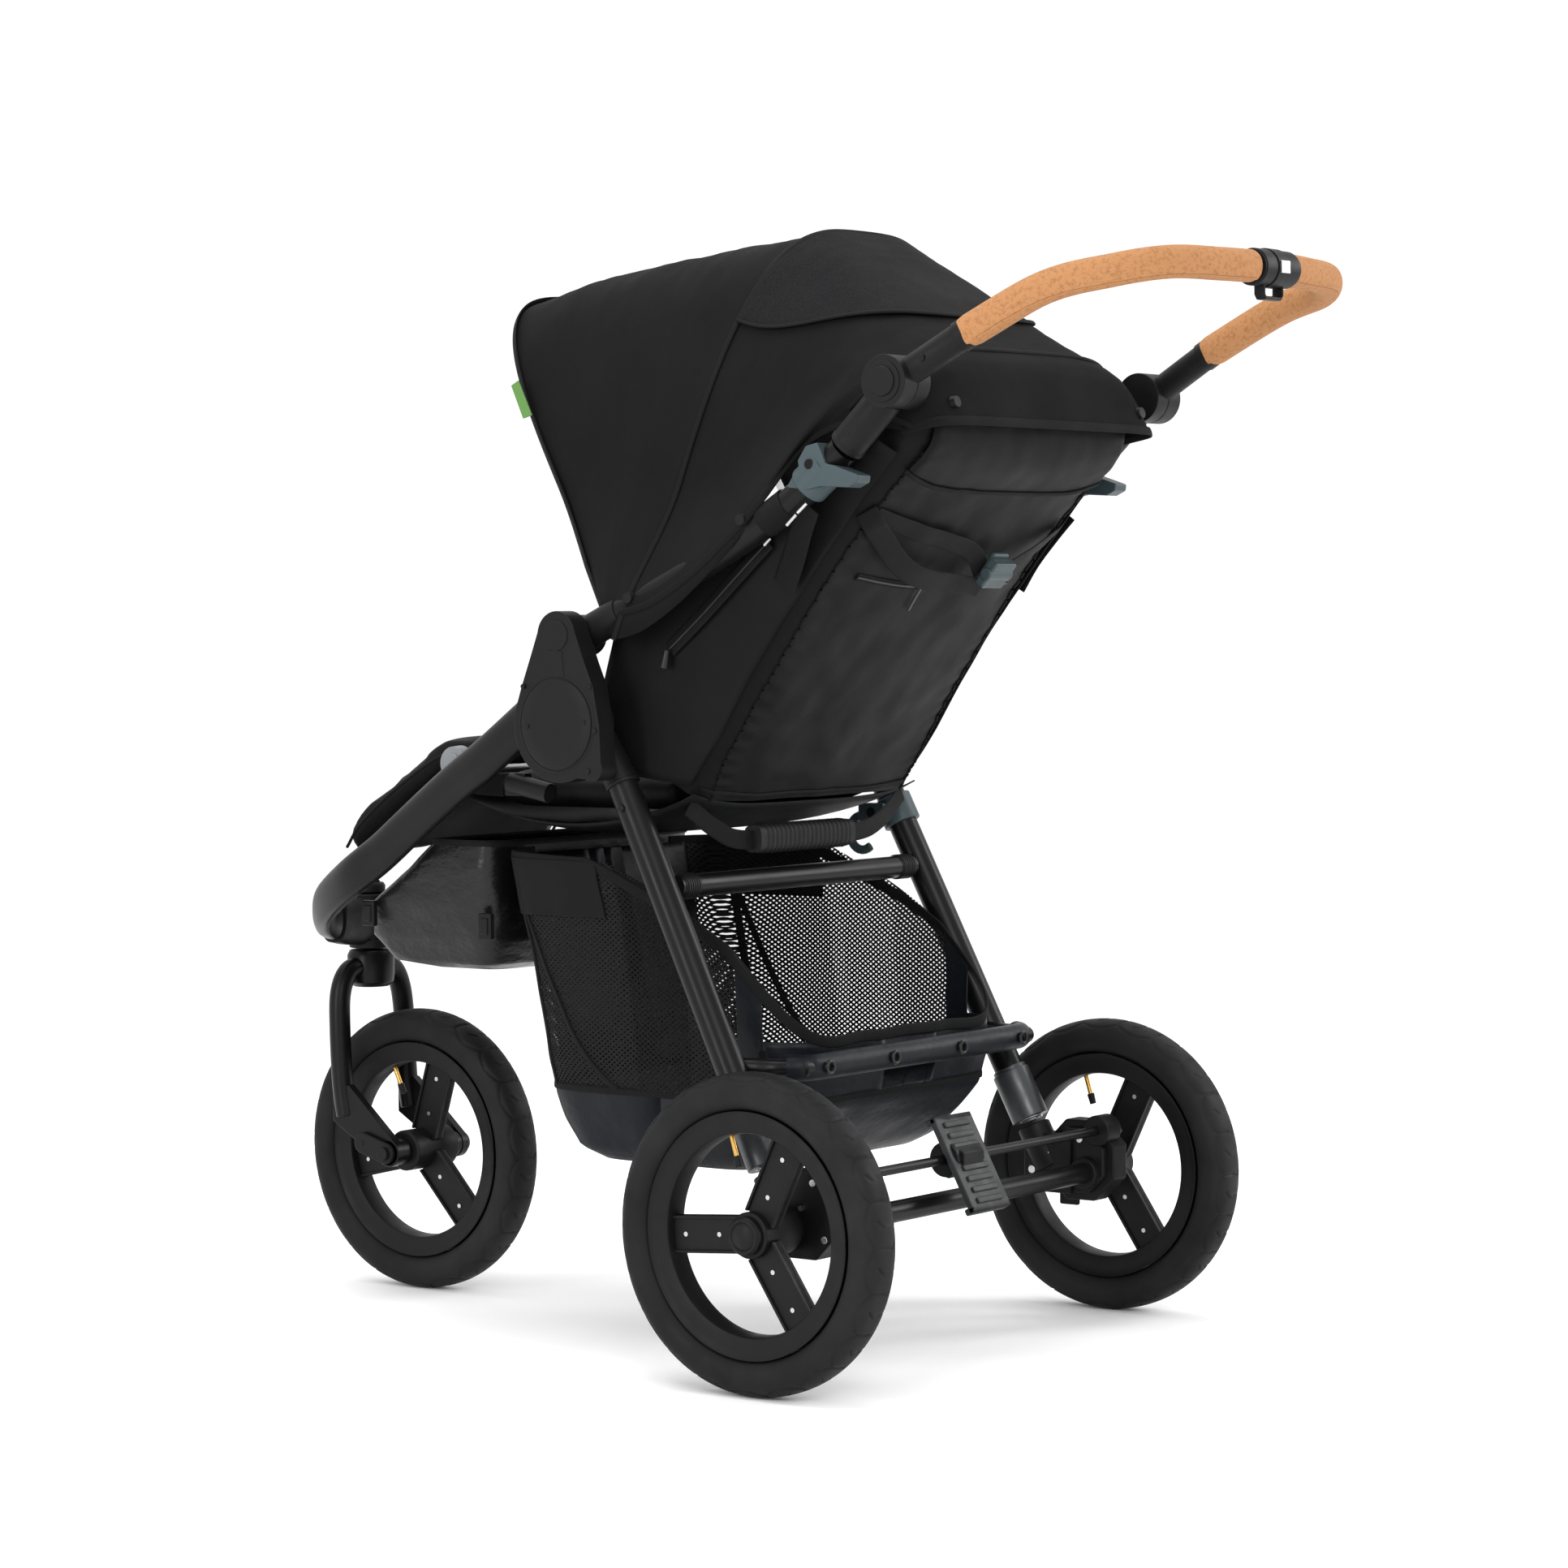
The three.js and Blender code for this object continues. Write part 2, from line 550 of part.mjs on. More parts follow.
// Fold triggers: slate sleeves that slide up the upper tubes.
const triggerLow = vec(222, 2, 887.6);
const triggerTop = vec(222, 28, 908.2);
const triggerWing = outline([
  [2, 912], [12, 926], [26, 929], [31, 920], [36, 908], [46, 906], [76, 895], [68, 886], [30, 888], [10, 882],
]);
const trigger = cut(
  join(rod(triggerLow, triggerTop, 21), plate(triggerWing, 219, 241)),
  rod(vec(222, -33, 859.8), vec(222, 79, 948.6), UPPER_TUBE + 1.2),
);
addPair('fold_trigger', shaped(trigger), 'slate');

// ---------------------------------------------------------------- canopy

// One arch of a canopy skin: it stands on [y, z] on both sides and rises to the top point.
function arch(base, top, width, exponent, thickness, count = 16) {
  const rise = vec(0, top[0] - base[0], top[1] - base[1]);
  const height = rise.length();
  rise.normalize();
  const foot = vec(0, base[0], base[1]);
  const side = (w, h) => {
    const line = [];
    for (let i = 0; i <= count; i++) {
      const angle = (Math.PI * i) / count;
      const x = w * power(Math.cos(angle), 2 / exponent);
      line.push(foot.clone().addScaledVector(rise, h * power(Math.sin(angle), 2 / exponent)).setX(x));
    }
    return line;
  };
  return [...side(width, height), ...side(width - thickness, height - thickness).reverse()];
}

const CANOPY_WALL = 3;
const canopyArch = (base, top, width, exponent) => arch(base, top, width, exponent, CANOPY_WALL);
const frontPanel = loft([
  canopyArch([-268, 758], [-452, 1100], 199, 4.2),
  canopyArch([-264, 758], [-375, 1121], 200, 3.9),
  canopyArch([-259, 758], [-285, 1134], 200, 3.6),
  canopyArch([-254, 757], [-190, 1144], 200.5, 3.4),
  canopyArch([-249, 756], [-99, 1152], 201, 3.2),
]);
add('canopy_front_panel', frontPanel, 'fabric');
const rearPanel = loft([
  canopyArch([-245, 752], [-92, 1154], 202, 3.2),
  canopyArch([-205, 770], [-55, 1133], 202, 3.3),
  canopyArch([-148, 800], [-10, 1103], 201, 3.4),
  canopyArch([-75, 860], [45, 1066], 200, 3.6),
  canopyArch([-20, 930], [100, 1030], 198, 4),
  canopyArch([40, 950], [128, 1006], 196, 5),
  canopyArch([88, 956], [142, 976], 195, 6),
]);
add('canopy_rear_panel', rearPanel, 'fabric');

// Flat spring-steel bows inside the canopy, each ending in an eyelet on the canopy pivot.
function bow(foot, top, width, exponent, eyeX, halfWidth) {
  const along = vec(0, top[0] - foot[0], top[1] - foot[1]).normalize();
  const across90 = vec(0, -along.z, along.y);
  const rings = arch(foot, top, width, exponent, 4);
  const nearSide = rings.map((p) => p.clone().addScaledVector(across90, -halfWidth));
  const farSide = rings.map((p) => p.clone().addScaledVector(across90, halfWidth));
  const eyes = [across(CANOPY_PIVOT, 12, eyeX, eyeX + 4, 12), across(CANOPY_PIVOT, 12, -eyeX - 4, -eyeX, 12)];
  return shaped(cut(join(loft([nearSide, farSide]), ...eyes), across(CANOPY_PIVOT, 5.5, -230, 230, 10)));
}
add('canopy_front_bow', bow([-260, 748], [-444, 1089], 190.3, 4.2, 186.3, 6), 'steel');
add('canopy_main_bow', bow([-254, 748], [-98, 1146], 194.8, 3.2, 190.8, 6), 'steel');

// ---------------------------------------------------------------- seat

const SEAT_HALF = 186;
const backLine = [[-176, 592], [-140, 634], [-104, 688], [-60, 745], [0, 814], [55, 874], [92, 918], [104, 944]];
function paddedSheet(line, halfWidth, topWidth, halfThickness, lift) {
  const middle = new THREE.CatmullRomCurve3(line.map(([y, z]) => vec(0, y, z)));
  const rings = [];
  for (let i = 0; i <= 8; i++) {
    const tangent = middle.getTangent(i / 8);
    const upwards = new THREE.Vector3().crossVectors(tangent, vec(-1, 0, 0));
    const centre = middle.getPoint(i / 8).addScaledVector(upwards, lift);
    const width = i > 4 ? halfWidth + ((topWidth - halfWidth) * (i - 4)) / 4 : halfWidth;
    rings.push(oval(centre, vec(1, 0, 0), upwards, width, halfThickness, 5, 16));
  }
  return loft(rings);
}
add('seat_back', paddedSheet(backLine, SEAT_HALF, 162, 13, -14), 'fabric');
add('seat_cushion', block(-SEAT_HALF, SEAT_HALF, -455, -200, 562, 598, 14), 'fabric');
const sidePanel = outline([
  [-240, 716], [-150, 772], [-60, 822], [0, 858], [70, 912], [96, 934], [104, 926], [60, 876], [0, 810],
  [-60, 741], [-104, 684], [-140, 630], [-178, 588], [-262, 592], [-268, 650],
]);
addPair('seat_side_panel', plate(sidePanel, SEAT_HALF + 3.5, SEAT_HALF + 11), 'fabric');

const legrest = paddedSheet([[-507, 596], [-540, 584], [-590, 551], [-640, 518], [-664, 500]], 150, 150, 15, 12);
add('legrest_pad', legrest, 'fabric');
add('legrest_rod', across([LEGREST_PIVOT[0], LEGREST_PIVOT[1] - 2], 5, -198, 198, 16), 'steel');

// Open soft shells: the footwell below the legrest, and the basket.
function bucket(levels, wall, floor, count = 16) {
  const ring = ([z, y0, y1, w], inset, level = z) => oval(
    vec(0, (y0 + y1) / 2, level), vec(1, 0, 0), vec(0, 1, 0), w - inset, (y1 - y0) / 2 - inset, 7, count);
  const outer = loft(levels.map((level) => ring(level, 0)));
  const first = levels[0];
  const last = levels[levels.length - 1];
  const inner = [ring(first, wall + 4, first[0] + floor), ...levels.slice(1).map((level) => ring(level, wall))];
  inner.push(ring(last, wall, last[0] + 30));
  return shaped(cut(solid(outer), loft(inner)));
}
const footwell = bucket([[380, -600, -500, 120], [388, -640, -480, 150], [415, -668, -466, 160],
  [450, -664, -462, 168], [490, -600, -460, 172], [520, -560, -460, 172]], 4, 5);
add('footwell', footwell, 'fabric');
const basket = bucket([
  [192, -345, -130, 155], [204, -372, -106, 168], [260, -402, -50, 184], [296, -409, -38.5, 190],
  [320, -413, -38.5, 190], [360, -422, -70, 191], [420, -434, -126, 191], [470, -445, -206, 191],
  [508, -453, -290, 191],
], 4, 5);
const basketMouth = plate(outline([
  [-20, 322], [-43, 322], [-74, 362], [-130, 422], [-210, 472], [-286, 506], [-286, 530], [-20, 530],
]), -185.5, 185.5);
add('basket', shaped(cut(solid(basket), basketMouth)), 'mesh');

// Ribbed carrying grip below the seat, and the accessory sockets on the front tubes.
const grip = block(-70, 94, -184, -158, 516, 542, 11);
add('carry_grip', grip, 'rubber');
const socket = cut(
  join(rod(vec(206, -405, 588), vec(206, -352, 577.6), 10.5, 12), block(196, 208, -412, -384, 574, 598, 3)),
  rod(vec(206, -376, 582.3), vec(206, -340, 575.3), 8, 10),
);
addPair('accessory_socket', shaped(socket), 'plastic');

export default stroller;
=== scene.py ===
import math
import bmesh
import bpy
from mathutils import Matrix, Vector, noise


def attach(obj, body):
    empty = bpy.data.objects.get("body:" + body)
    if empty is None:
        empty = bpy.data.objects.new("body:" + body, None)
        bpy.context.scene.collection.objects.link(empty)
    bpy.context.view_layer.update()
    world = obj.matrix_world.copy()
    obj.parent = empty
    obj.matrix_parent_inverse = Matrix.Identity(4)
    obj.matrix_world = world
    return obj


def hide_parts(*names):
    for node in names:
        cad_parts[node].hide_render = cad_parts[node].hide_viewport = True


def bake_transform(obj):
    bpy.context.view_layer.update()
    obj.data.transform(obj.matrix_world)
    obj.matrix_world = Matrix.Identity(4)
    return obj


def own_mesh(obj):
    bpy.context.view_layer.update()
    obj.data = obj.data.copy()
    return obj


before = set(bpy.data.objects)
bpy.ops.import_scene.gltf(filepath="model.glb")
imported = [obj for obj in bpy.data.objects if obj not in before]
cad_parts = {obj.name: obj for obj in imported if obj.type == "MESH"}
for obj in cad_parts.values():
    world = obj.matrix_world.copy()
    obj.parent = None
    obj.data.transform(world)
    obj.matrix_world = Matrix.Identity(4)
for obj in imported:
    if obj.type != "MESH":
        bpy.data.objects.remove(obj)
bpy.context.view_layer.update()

# Camera. It stands about four metres behind the stroller's left rear wheel, at handle height,
# and looks slightly down with a long lens.
azimuth, elevation, roll = map(math.radians, (127.3565, 2.3264, -0.5163))
backward = Vector((math.sin(azimuth) * math.cos(elevation), -math.cos(azimuth) * math.cos(elevation),
                   math.sin(elevation)))
sideways = (-backward).cross(Vector((0, 0, 1))).normalized()
upward = sideways.cross(-backward)
across_view = math.cos(roll) * sideways + math.sin(roll) * upward
up_view = math.cos(roll) * upward - math.sin(roll) * sideways
camera_data = bpy.data.cameras.new("camera")
camera_data.lens = 95.88
camera_data.sensor_width = 36
camera = bpy.data.objects.new("camera", camera_data)
bpy.context.scene.collection.objects.link(camera)
camera.matrix_world = Matrix.Translation((3.5111, 2.7130, 0.7615)) @ Matrix((across_view, up_view,
        backward)).transposed().to_4x4()
bpy.context.scene.camera = camera

# Studio. A white floor that runs out of sight, an even white surround, and large soft lamps:
# the key from the left rear, a strip for the tubes' highlights, and one overhead.
bpy.context.scene.view_settings.view_transform = "Standard"
world = bpy.data.worlds.new("studio")
world.use_nodes = True
world.node_tree.nodes["Background"].inputs["Color"].default_value = (1, 1, 1, 1)
world.node_tree.nodes["Background"].inputs["Strength"].default_value = 1.06
bpy.context.scene.world = world
for place, target, size, power in (
    ((3.0, 3.6, 2.6), (0, 0, 0.6), (2.2, 1.2), 75),
    ((4.2, -0.6, 1.6), (0, 0, 0.5), (0.5, 2.4), 60),
    ((-3.0, 2.4, 2.2), (0, 0, 0.6), (0.8, 2.2), 60),
    ((0.2, -0.4, 3.4), (0, 0, 0), (2.4, 2.4), 55),
):
    lamp_data = bpy.data.lights.new("lamp", "AREA")
    lamp_data.shape = "RECTANGLE"
    lamp_data.size, lamp_data.size_y = size
    lamp_data.energy = power
    lamp = bpy.data.objects.new("lamp", lamp_data)
    bpy.context.scene.collection.objects.link(lamp)
    lamp.location = place
    lamp.rotation_euler = (Vector(target) - Vector(place)).to_track_quat("-Z", "Y").to_euler()


# Floor. The material helpers start here: a Socket does arithmetic on shader values, and a Finish
# is one material with a single shader, whose varying inputs are fed by sockets.
class Socket:
    def __init__(self, tree, output):
        self.tree = tree
        self.output = output

    def math(self, operation, *others):
        node = self.tree.nodes.new("ShaderNodeMath")
        node.operation = operation
        for slot_input, value in zip(node.inputs, (self, *others)):
            if isinstance(value, Socket):
                self.tree.links.new(value.output, slot_input)
            else:
                slot_input.default_value = value
        return Socket(self.tree, node.outputs[0])

    def __add__(self, other):
        return self.math("ADD", other)

    def __sub__(self, other):
        return self.math("SUBTRACT", other)

    def __mul__(self, other):
        return self.math("MULTIPLY", other)

    def ramp(self, low, high, out_low=0.0, out_high=1.0):
        node = self.tree.nodes.new("ShaderNodeMapRange")
        node.inputs["From Min"].default_value = low
        node.inputs["From Max"].default_value = high
        node.inputs["To Min"].default_value = out_low
        node.inputs["To Max"].default_value = out_high
        self.tree.links.new(self.output, node.inputs["Value"])
        return Socket(self.tree, node.outputs["Result"])

    def colours(self, low, high):
        node = self.tree.nodes.new("ShaderNodeMix")
        node.data_type = "RGBA"
        node.inputs["A"].default_value = (*low, 1)
        node.inputs["B"].default_value = (*high, 1)
        self.tree.links.new(self.output, node.inputs["Factor"])
        return Socket(self.tree, next(o for o in node.outputs if o.type == "RGBA"))


class Finish:
    def __init__(self, name, colour, roughness, metallic=0.0, specular=0.5, coat=0.0):
        self.material = bpy.data.materials.new(name)
        self.material.use_nodes = True
        self.material.diffuse_color = (*colour, 1)
        self.tree = self.material.node_tree
        self.shader = self.tree.nodes["Principled BSDF"]
        for key, value in {
            "Base Color": (*colour, 1), "Roughness": roughness, "Metallic": metallic,
            "Specular IOR Level": specular, "Coat Weight": coat,
        }.items():
            self.shader.inputs[key].default_value = value

    def node(self, kind, link_from=None, **inputs):
        made = self.tree.nodes.new(kind)
        for key, value in inputs.items():
            key = key.replace("_", " ")
            if isinstance(value, Socket):
                self.tree.links.new(value.output, made.inputs[key])
            else:
                made.inputs[key].default_value = value
        if link_from is not None:
            self.tree.links.new(link_from, made.inputs["Vector"])
        return made

    def place(self, stretch=(1, 1, 1), turn=(0, 0, 0), uv=False):
        coordinates = self.tree.nodes.new("ShaderNodeTexCoord").outputs["UV" if uv else "Object"]
        return self.node("ShaderNodeMapping", coordinates, Scale=stretch, Rotation=turn).outputs["Vector"]

    def grain(self, scale, detail=2.0, roughness=0.5, stretch=(1, 1, 1), turn=(0, 0, 0), uv=False):
        node = self.node("ShaderNodeTexNoise", self.place(stretch, turn, uv), Scale=scale, Detail=detail,
                         Roughness=roughness)
        return Socket(self.tree, node.outputs[0])

    def stripes(self, scale, turn, uv=False, distortion=0.0):
        node = self.node("ShaderNodeTexWave", self.place((1, 1, 1), turn, uv), Scale=scale,
                         Distortion=distortion)
        return Socket(self.tree, node.outputs[1])

    def cells(self, scale, stretch=(1, 1, 1), feature="F1", uv=False):
        node = self.node("ShaderNodeTexVoronoi", self.place(stretch, (0, 0, 0), uv), Scale=scale)
        node.feature = feature
        return Socket(self.tree, node.outputs["Distance"])

    def feed(self, name, socket):
        self.tree.links.new(socket.output, self.shader.inputs[name])

    def bump(self, height, strength, depth=0.001):
        node = self.node("ShaderNodeBump", Height=height, Strength=strength, Distance=depth)
        if self.shader.inputs["Normal"].is_linked:
            self.tree.links.new(self.shader.inputs["Normal"].links[0].from_socket, node.inputs["Normal"])
        self.tree.links.new(node.outputs["Normal"], self.shader.inputs["Normal"])


floor_paint = Finish("floor_white", (0.96, 0.96, 0.96), 0.8, specular=0.1)
floor_paint.feed("Roughness", floor_paint.grain(4).ramp(0, 1, 0.62, 0.72))
floor_mesh = bpy.data.meshes.new("floor")
floor_mesh.from_pydata([(-40, -40, 0), (40, -40, 0), (40, 40, 0), (-40, 40, 0)], [], [(0, 1, 2, 3)])
floor_mesh.materials.append(floor_paint.material)
floor = bpy.data.objects.new("floor", floor_mesh)
bpy.context.scene.collection.objects.link(floor)


# Tyres. The shape helpers start here. A Form is a set of corner points in metres and the faces
# between them; at() gives a point from millimetres counted from the rear axle, which stands
# axle_behind millimetres behind the frame's middle.
axle_behind = 234.3


def at(x, y, z):
    return Vector((x, y + axle_behind, z)) / 1000


class Form:
    def __init__(self, points=(), faces=()):
        self.points = [Vector(p) for p in points]
        self.faces = [tuple(f) for f in faces]

    def __add__(self, other):
        count = len(self.points)
        return Form(self.points + other.points, self.faces + [tuple(i + count for i in f) for f in other.faces])

    def mirrored(self):
        return Form([Vector((-p.x, p.y, p.z)) for p in self.points], [f[::-1] for f in self.faces])

    def moved(self, matrix):
        return Form([matrix @ p for p in self.points], self.faces)


def skin(rings, around=True, along=False, caps=True):
    count = len(rings[0])
    faces = []
    for r in range(len(rings) if along else len(rings) - 1):
        for i in range(count if around else count - 1):
            a, b = r * count + i, r * count + (i + 1) % count
            c, d = ((r + 1) % len(rings)) * count + (i + 1) % count, ((r + 1) % len(rings)) * count + i
            faces.append((a, b, c, d))
    if caps and around and not along:
        faces.append(tuple(range(count))[::-1])
        faces.append(tuple(range((len(rings) - 1) * count, len(rings) * count)))
    return Form([p for ring in rings for p in ring], faces)


def power(value, exponent):
    return math.copysign(abs(value) ** exponent, value)


def superellipse(width, height, exponent, count):
    angles = [2 * math.pi * i / count for i in range(count)]
    return [(width * power(math.cos(a), 2 / exponent), height * power(math.sin(a), 2 / exponent))
            for a in angles]


def spline(knots, steps):
    knots = [Vector(k) for k in knots]
    knots = [knots[0] * 2 - knots[1]] + knots + [knots[-1] * 2 - knots[-2]]
    path = []
    for k in range(1, len(knots) - 2):
        p0, p1, p2, p3 = knots[k - 1:k + 3]
        for s in range(steps):
            t = s / steps
            path.append(0.5 * (2 * p1 + (p2 - p0) * t + (2 * p0 - 5 * p1 + 4 * p2 - p3) * t * t
                               + (3 * p1 - p0 - 3 * p2 + p3) * t ** 3))
    return path + [knots[-2]]


def swept(path, section, upright=Vector((0, 0, 1)), closed=False, scale=lambda t: 1.0):
    rings = []
    for i, p in enumerate(path):
        before = path[i - 1] if i or closed else p
        after = path[(i + 1) % len(path)] if i + 1 < len(path) or closed else p
        forward = (after - before).normalized()
        side = forward.cross(upright).normalized()
        up = side.cross(forward)
        size = scale(i / (len(path) - 1))
        rings.append([p + (side * u + up * v) * size for u, v in section])
    return skin(rings, along=closed)


def bar(start, end, radius, sides=24, end_radius=None):
    turn = (end - start).to_track_quat("Z", "Y").to_matrix()
    rings = []
    for centre, size in ((start, radius), (end, radius if end_radius is None else end_radius)):
        circle = superellipse(size / 1000, size / 1000, 2, sides)
        rings.append([centre + turn @ Vector((u, v, 0)) for u, v in circle])
    return skin(rings)


def turned(profile, centre, segments=64, closed=False):
    rings = []
    for i in range(segments):
        angle = 2 * math.pi * i / segments
        rings.append([centre + Vector((x, r * math.cos(angle), r * math.sin(angle))) / 1000
                      for r, x in profile])
    return skin(rings, around=closed, along=True, caps=False)


def plate(outline, x0, x1):
    return skin([[at(x, y, z) for y, z in outline] for x in (x0, x1)])


def arc(y, z, radius, start, end, steps=16):
    angles = [math.radians(start + (end - start) * i / steps) for i in range(steps + 1)]
    return [(y + radius * math.cos(a), z + radius * math.sin(a)) for a in angles]



def block(x0, x1, y0, y1, z0, z1):
    return skin([[at(x, y0, z0), at(x, y1, z0), at(x, y1, z1), at(x, y0, z1)] for x in (x0, x1)])


def make(name, form, finish, body, stands_for=(), bevel=0.0, crease=35, weld=False):
    mesh = bpy.data.meshes.new(name)
    mesh.from_pydata(form.points, [], form.faces)
    bm = bmesh.new()
    bm.from_mesh(mesh)
    if weld:
        bmesh.ops.remove_doubles(bm, verts=bm.verts, dist=1e-6)
    bmesh.ops.recalc_face_normals(bm, faces=bm.faces)
    for face in bm.faces:
        face.smooth = True
    for edge in bm.edges:
        edge.smooth = edge.calc_face_angle(0) < math.radians(crease)
    bm.to_mesh(mesh)
    bm.free()
    mesh.materials.append(finish.material)
    made = bpy.data.objects.new(name, mesh)
    bpy.context.scene.collection.objects.link(made)
    if bevel:
        rounding = made.modifiers.new("rounding", "BEVEL")
        rounding.width = bevel / 1000
        rounding.segments = 2
        rounding.limit_method = "ANGLE"
        rounding.angle_limit = math.radians(40)
        rounding.harden_normals = True
    if body:
        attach(made, body)
    if stands_for:
        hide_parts(*stands_for)
    return made


rubber = Finish("tyre_rubber", (0.007, 0.007, 0.0075), 0.62, specular=0.16)
rubber.feed("Roughness", rubber.grain(30, 4).ramp(0.3, 0.7, 0.52, 0.72))
rubber.feed("Base Color", rubber.grain(9, 5).ramp(0.4, 0.7).colours((0.005, 0.005, 0.0055),
        (0.011, 0.011, 0.011)))
rubber.bump(rubber.grain(1400, 2), 0.15, 0.0004)


def tyre(name, x, y, body):
    across_steps, around_steps, waves = 64, 720, 22
    rings = []
    for i in range(around_steps):
        angle = 2 * math.pi * i / around_steps
        phase = (i * waves / around_steps) % 1
        ring = []
        for j in range(across_steps):
            turn = 2 * math.pi * j / across_steps
            out = math.cos(turn)
            wide = power(math.sin(turn), 0.8)
            radius = 139.5 + 19.2 * power(out, 0.85)
            width = 24.3 * wide
            side = abs(turn if turn <= math.pi else 2 * math.pi - turn)
            swing = phase if turn <= math.pi else (phase + 0.5) % 1
            scallop = 0.62 + 0.42 * math.sin(math.pi * swing)
            groove = max(0.0, 1 - abs(side - scallop) / 0.075)
            if 0.1 < side < 0.42:
                groove = max(groove, 0.8 - abs(swing - 0.5 - (side - 0.26) * 0.6) / 0.05)
            if side < 0.62:
                groove = max(groove, 0.9 - min(swing, 1 - swing) / 0.05)
            groove = max(groove, 0.7 - abs(side - 1.62) / 0.06, 0.8 - abs(side - 2.45) / 0.07)
            depth = 1.7 * max(0.0, min(1.0, groove * 1.6))
            radius -= depth * max(0.25, out)
            width -= depth * 0.6 * wide
            ring.append(at(x + width, y, 158.75) + Vector((0, math.cos(angle), math.sin(angle)))
                        * radius / 1000)
        rings.append(ring)
    make(name, skin(rings, along=True), rubber, body,
         [name.replace("tread", "tyre")], crease=180)


tyre("rear_tread_left", 315.2, 0, "rear_wheel_left")
tyre("rear_tread_right", -315.2, 0, "rear_wheel_right")
tyre("front_tread", 0, -722, "front_wheel")

# Wheels. Each is one black moulding: a ring with rolled flanges, three flat spokes with raised
# side ribs, and a hub barrel; small screws hold the spokes, and a brass valve stands inside.
moulded = Finish("moulded_black", (0.005, 0.005, 0.0055), 0.42, specular=0.15)
moulded.feed("Roughness", moulded.grain(45, 3).ramp(0.3, 0.7, 0.42, 0.56))
moulded.bump(moulded.grain(1800, 2), 0.22, 0.0003)
zinc = Finish("zinc_steel", (0.5, 0.5, 0.51), 0.32, metallic=1.0)
zinc.feed("Roughness", zinc.grain(200, 3).ramp(0.3, 0.7, 0.25, 0.42))
brass = Finish("brass", (0.5, 0.3, 0.08), 0.32, metallic=1.0)
brass.feed("Roughness", brass.grain(300, 2).ramp(0.3, 0.7, 0.25, 0.4))


def wheel(name, x, y, hub, body, outward, phase, node):
    centre = at(x, y, 158.75)
    section = [
        (119.3, -17.2), (121.5, -18.8), (121.8, -17.4), (119.9, -15.4), (119.5, -12),
        (119.5, 12), (119.9, 15.4),
        (121.8, 17.4), (121.5, 18.8), (119.3, 17.2), (113, 15.6), (104, 14.6), (100.5, 13.2),
        (99.3, 10), (99, 0),
        (99.3, -10), (100.5, -13.2), (104, -14.6), (113, -15.6),
    ]
    form = turned(section, centre, 144, closed=True)
    barrel = [(0, hub[0]), (22.5, hub[0]), (24.4, hub[0] + 2), (24.4, -9), (23, -7), (23, hub[1] - 2),
              (20.5, hub[1]), (0, hub[1])]
    form += turned([(r, w * outward) for r, w in barrel], centre, 48)
    screws = Form()
    for k in range(3):
        turn = Matrix.Translation(centre) @ Matrix.Rotation(phase + 2 * math.pi * k / 3, 4, "X")
        panels = [(-18.5, 18.5, -4.2, 4.2), (-18.5, -15.5, -7, 7), (15.5, 18.5, -7, 7)]
        for s0, s1, w0, w1 in panels:
            spoke = skin([[Vector((w0, s0, r)), Vector((w1, s0, r)), Vector((w1, s1, r)), Vector((w0, s1, r))]
                          for r in (18, 100.5)])
            form += Form([p / 1000 for p in spoke.points], spoke.faces).moved(turn)
        for r in (42, 84):
            for side in (-1, 1):
                screw = bar(Vector((4 * side, 0, r)) / 1000, Vector((5 * side, 0, r)) / 1000, 2.4, 16)
                screws += screw.moved(turn)
    make(f"{name}_casting", form, moulded, body, [node], bevel=0.8)
    make(f"{name}_screws", screws, zinc, body)
    stem = Matrix.Translation(centre) @ Matrix.Rotation(phase + 0.75, 4, "X")
    valve = bar(Vector((0, 0, 0.0992)), Vector((0, 0, 0.078)), 2.5, 20)
    make(f"{name}_valve", valve.moved(stem), brass, body)
    cap = bar(Vector((0, 0, 0.0785)), Vector((0, 0, 0.067)), 4, 20, 3.4)
    make(f"{name}_valve_cap", cap.moved(stem), moulded, body, bevel=0.6)


wheel("rear_wheel_left", 315.2, 0, (-44, 14), "rear_wheel_left", 1, -0.45, "rear_wheel_rim_left")
wheel("rear_wheel_right", -315.2, 0, (-44, 14), "rear_wheel_right", -1, -0.45, "rear_wheel_rim_right")
wheel("front_wheel", 0, -722, (-34, 34), "front_wheel", 1, -0.3, "front_wheel_rim")
hub_cap = [(0, 14.4), (18.4, 14.4), (19.2, 16), (19.2, 19.5), (17, 22.4), (14.6, 22.8), (13.4, 21.8),
           (12, 22.6), (9.5, 24), (0, 24.6)]
for side, name in ((1, "left"), (-1, "right")):
    cover = turned([(r, x * side) for r, x in hub_cap], at(315.2 * side, 0, 158.75), 48)
    make(f"hub_cap_{name}_cover", cover, moulded, f"rear_wheel_{name}",
         [f"rear_hub_cap_{name}"])

# Fork. A forged crown with two bent legs and flat dropouts; stadium-shaped covers and bolt heads
# close the ends of the front axle.
paint = Finish("frame_black", (0.004, 0.004, 0.0044), 0.36, specular=0.15)
paint.feed("Roughness", paint.grain(25, 4).ramp(0.3, 0.7, 0.29, 0.38))
paint.bump(paint.grain(2600, 2), 0.1, 0.0002)
leg_path = spline([at(*p) for p in (
    (10, -800, 364), (36, -801, 359), (50, -801, 336), (54, -799, 296), (54, -796, 235), (54, -790, 196))], 10)
fork_leg = swept(leg_path, superellipse(0.012, 0.012, 2, 32), upright=Vector((0, -1, 0)))
dropout = [(-806, 232), (-782, 232)] + arc(-722, 158.75, 16, 50, -120, 14) + [(-806, 190)]
fork_form = fork_leg + plate(dropout, 49, 60) + plate(arc(-722, 158.75, 15, 0, 360, 32)[:-1], 36, 60)
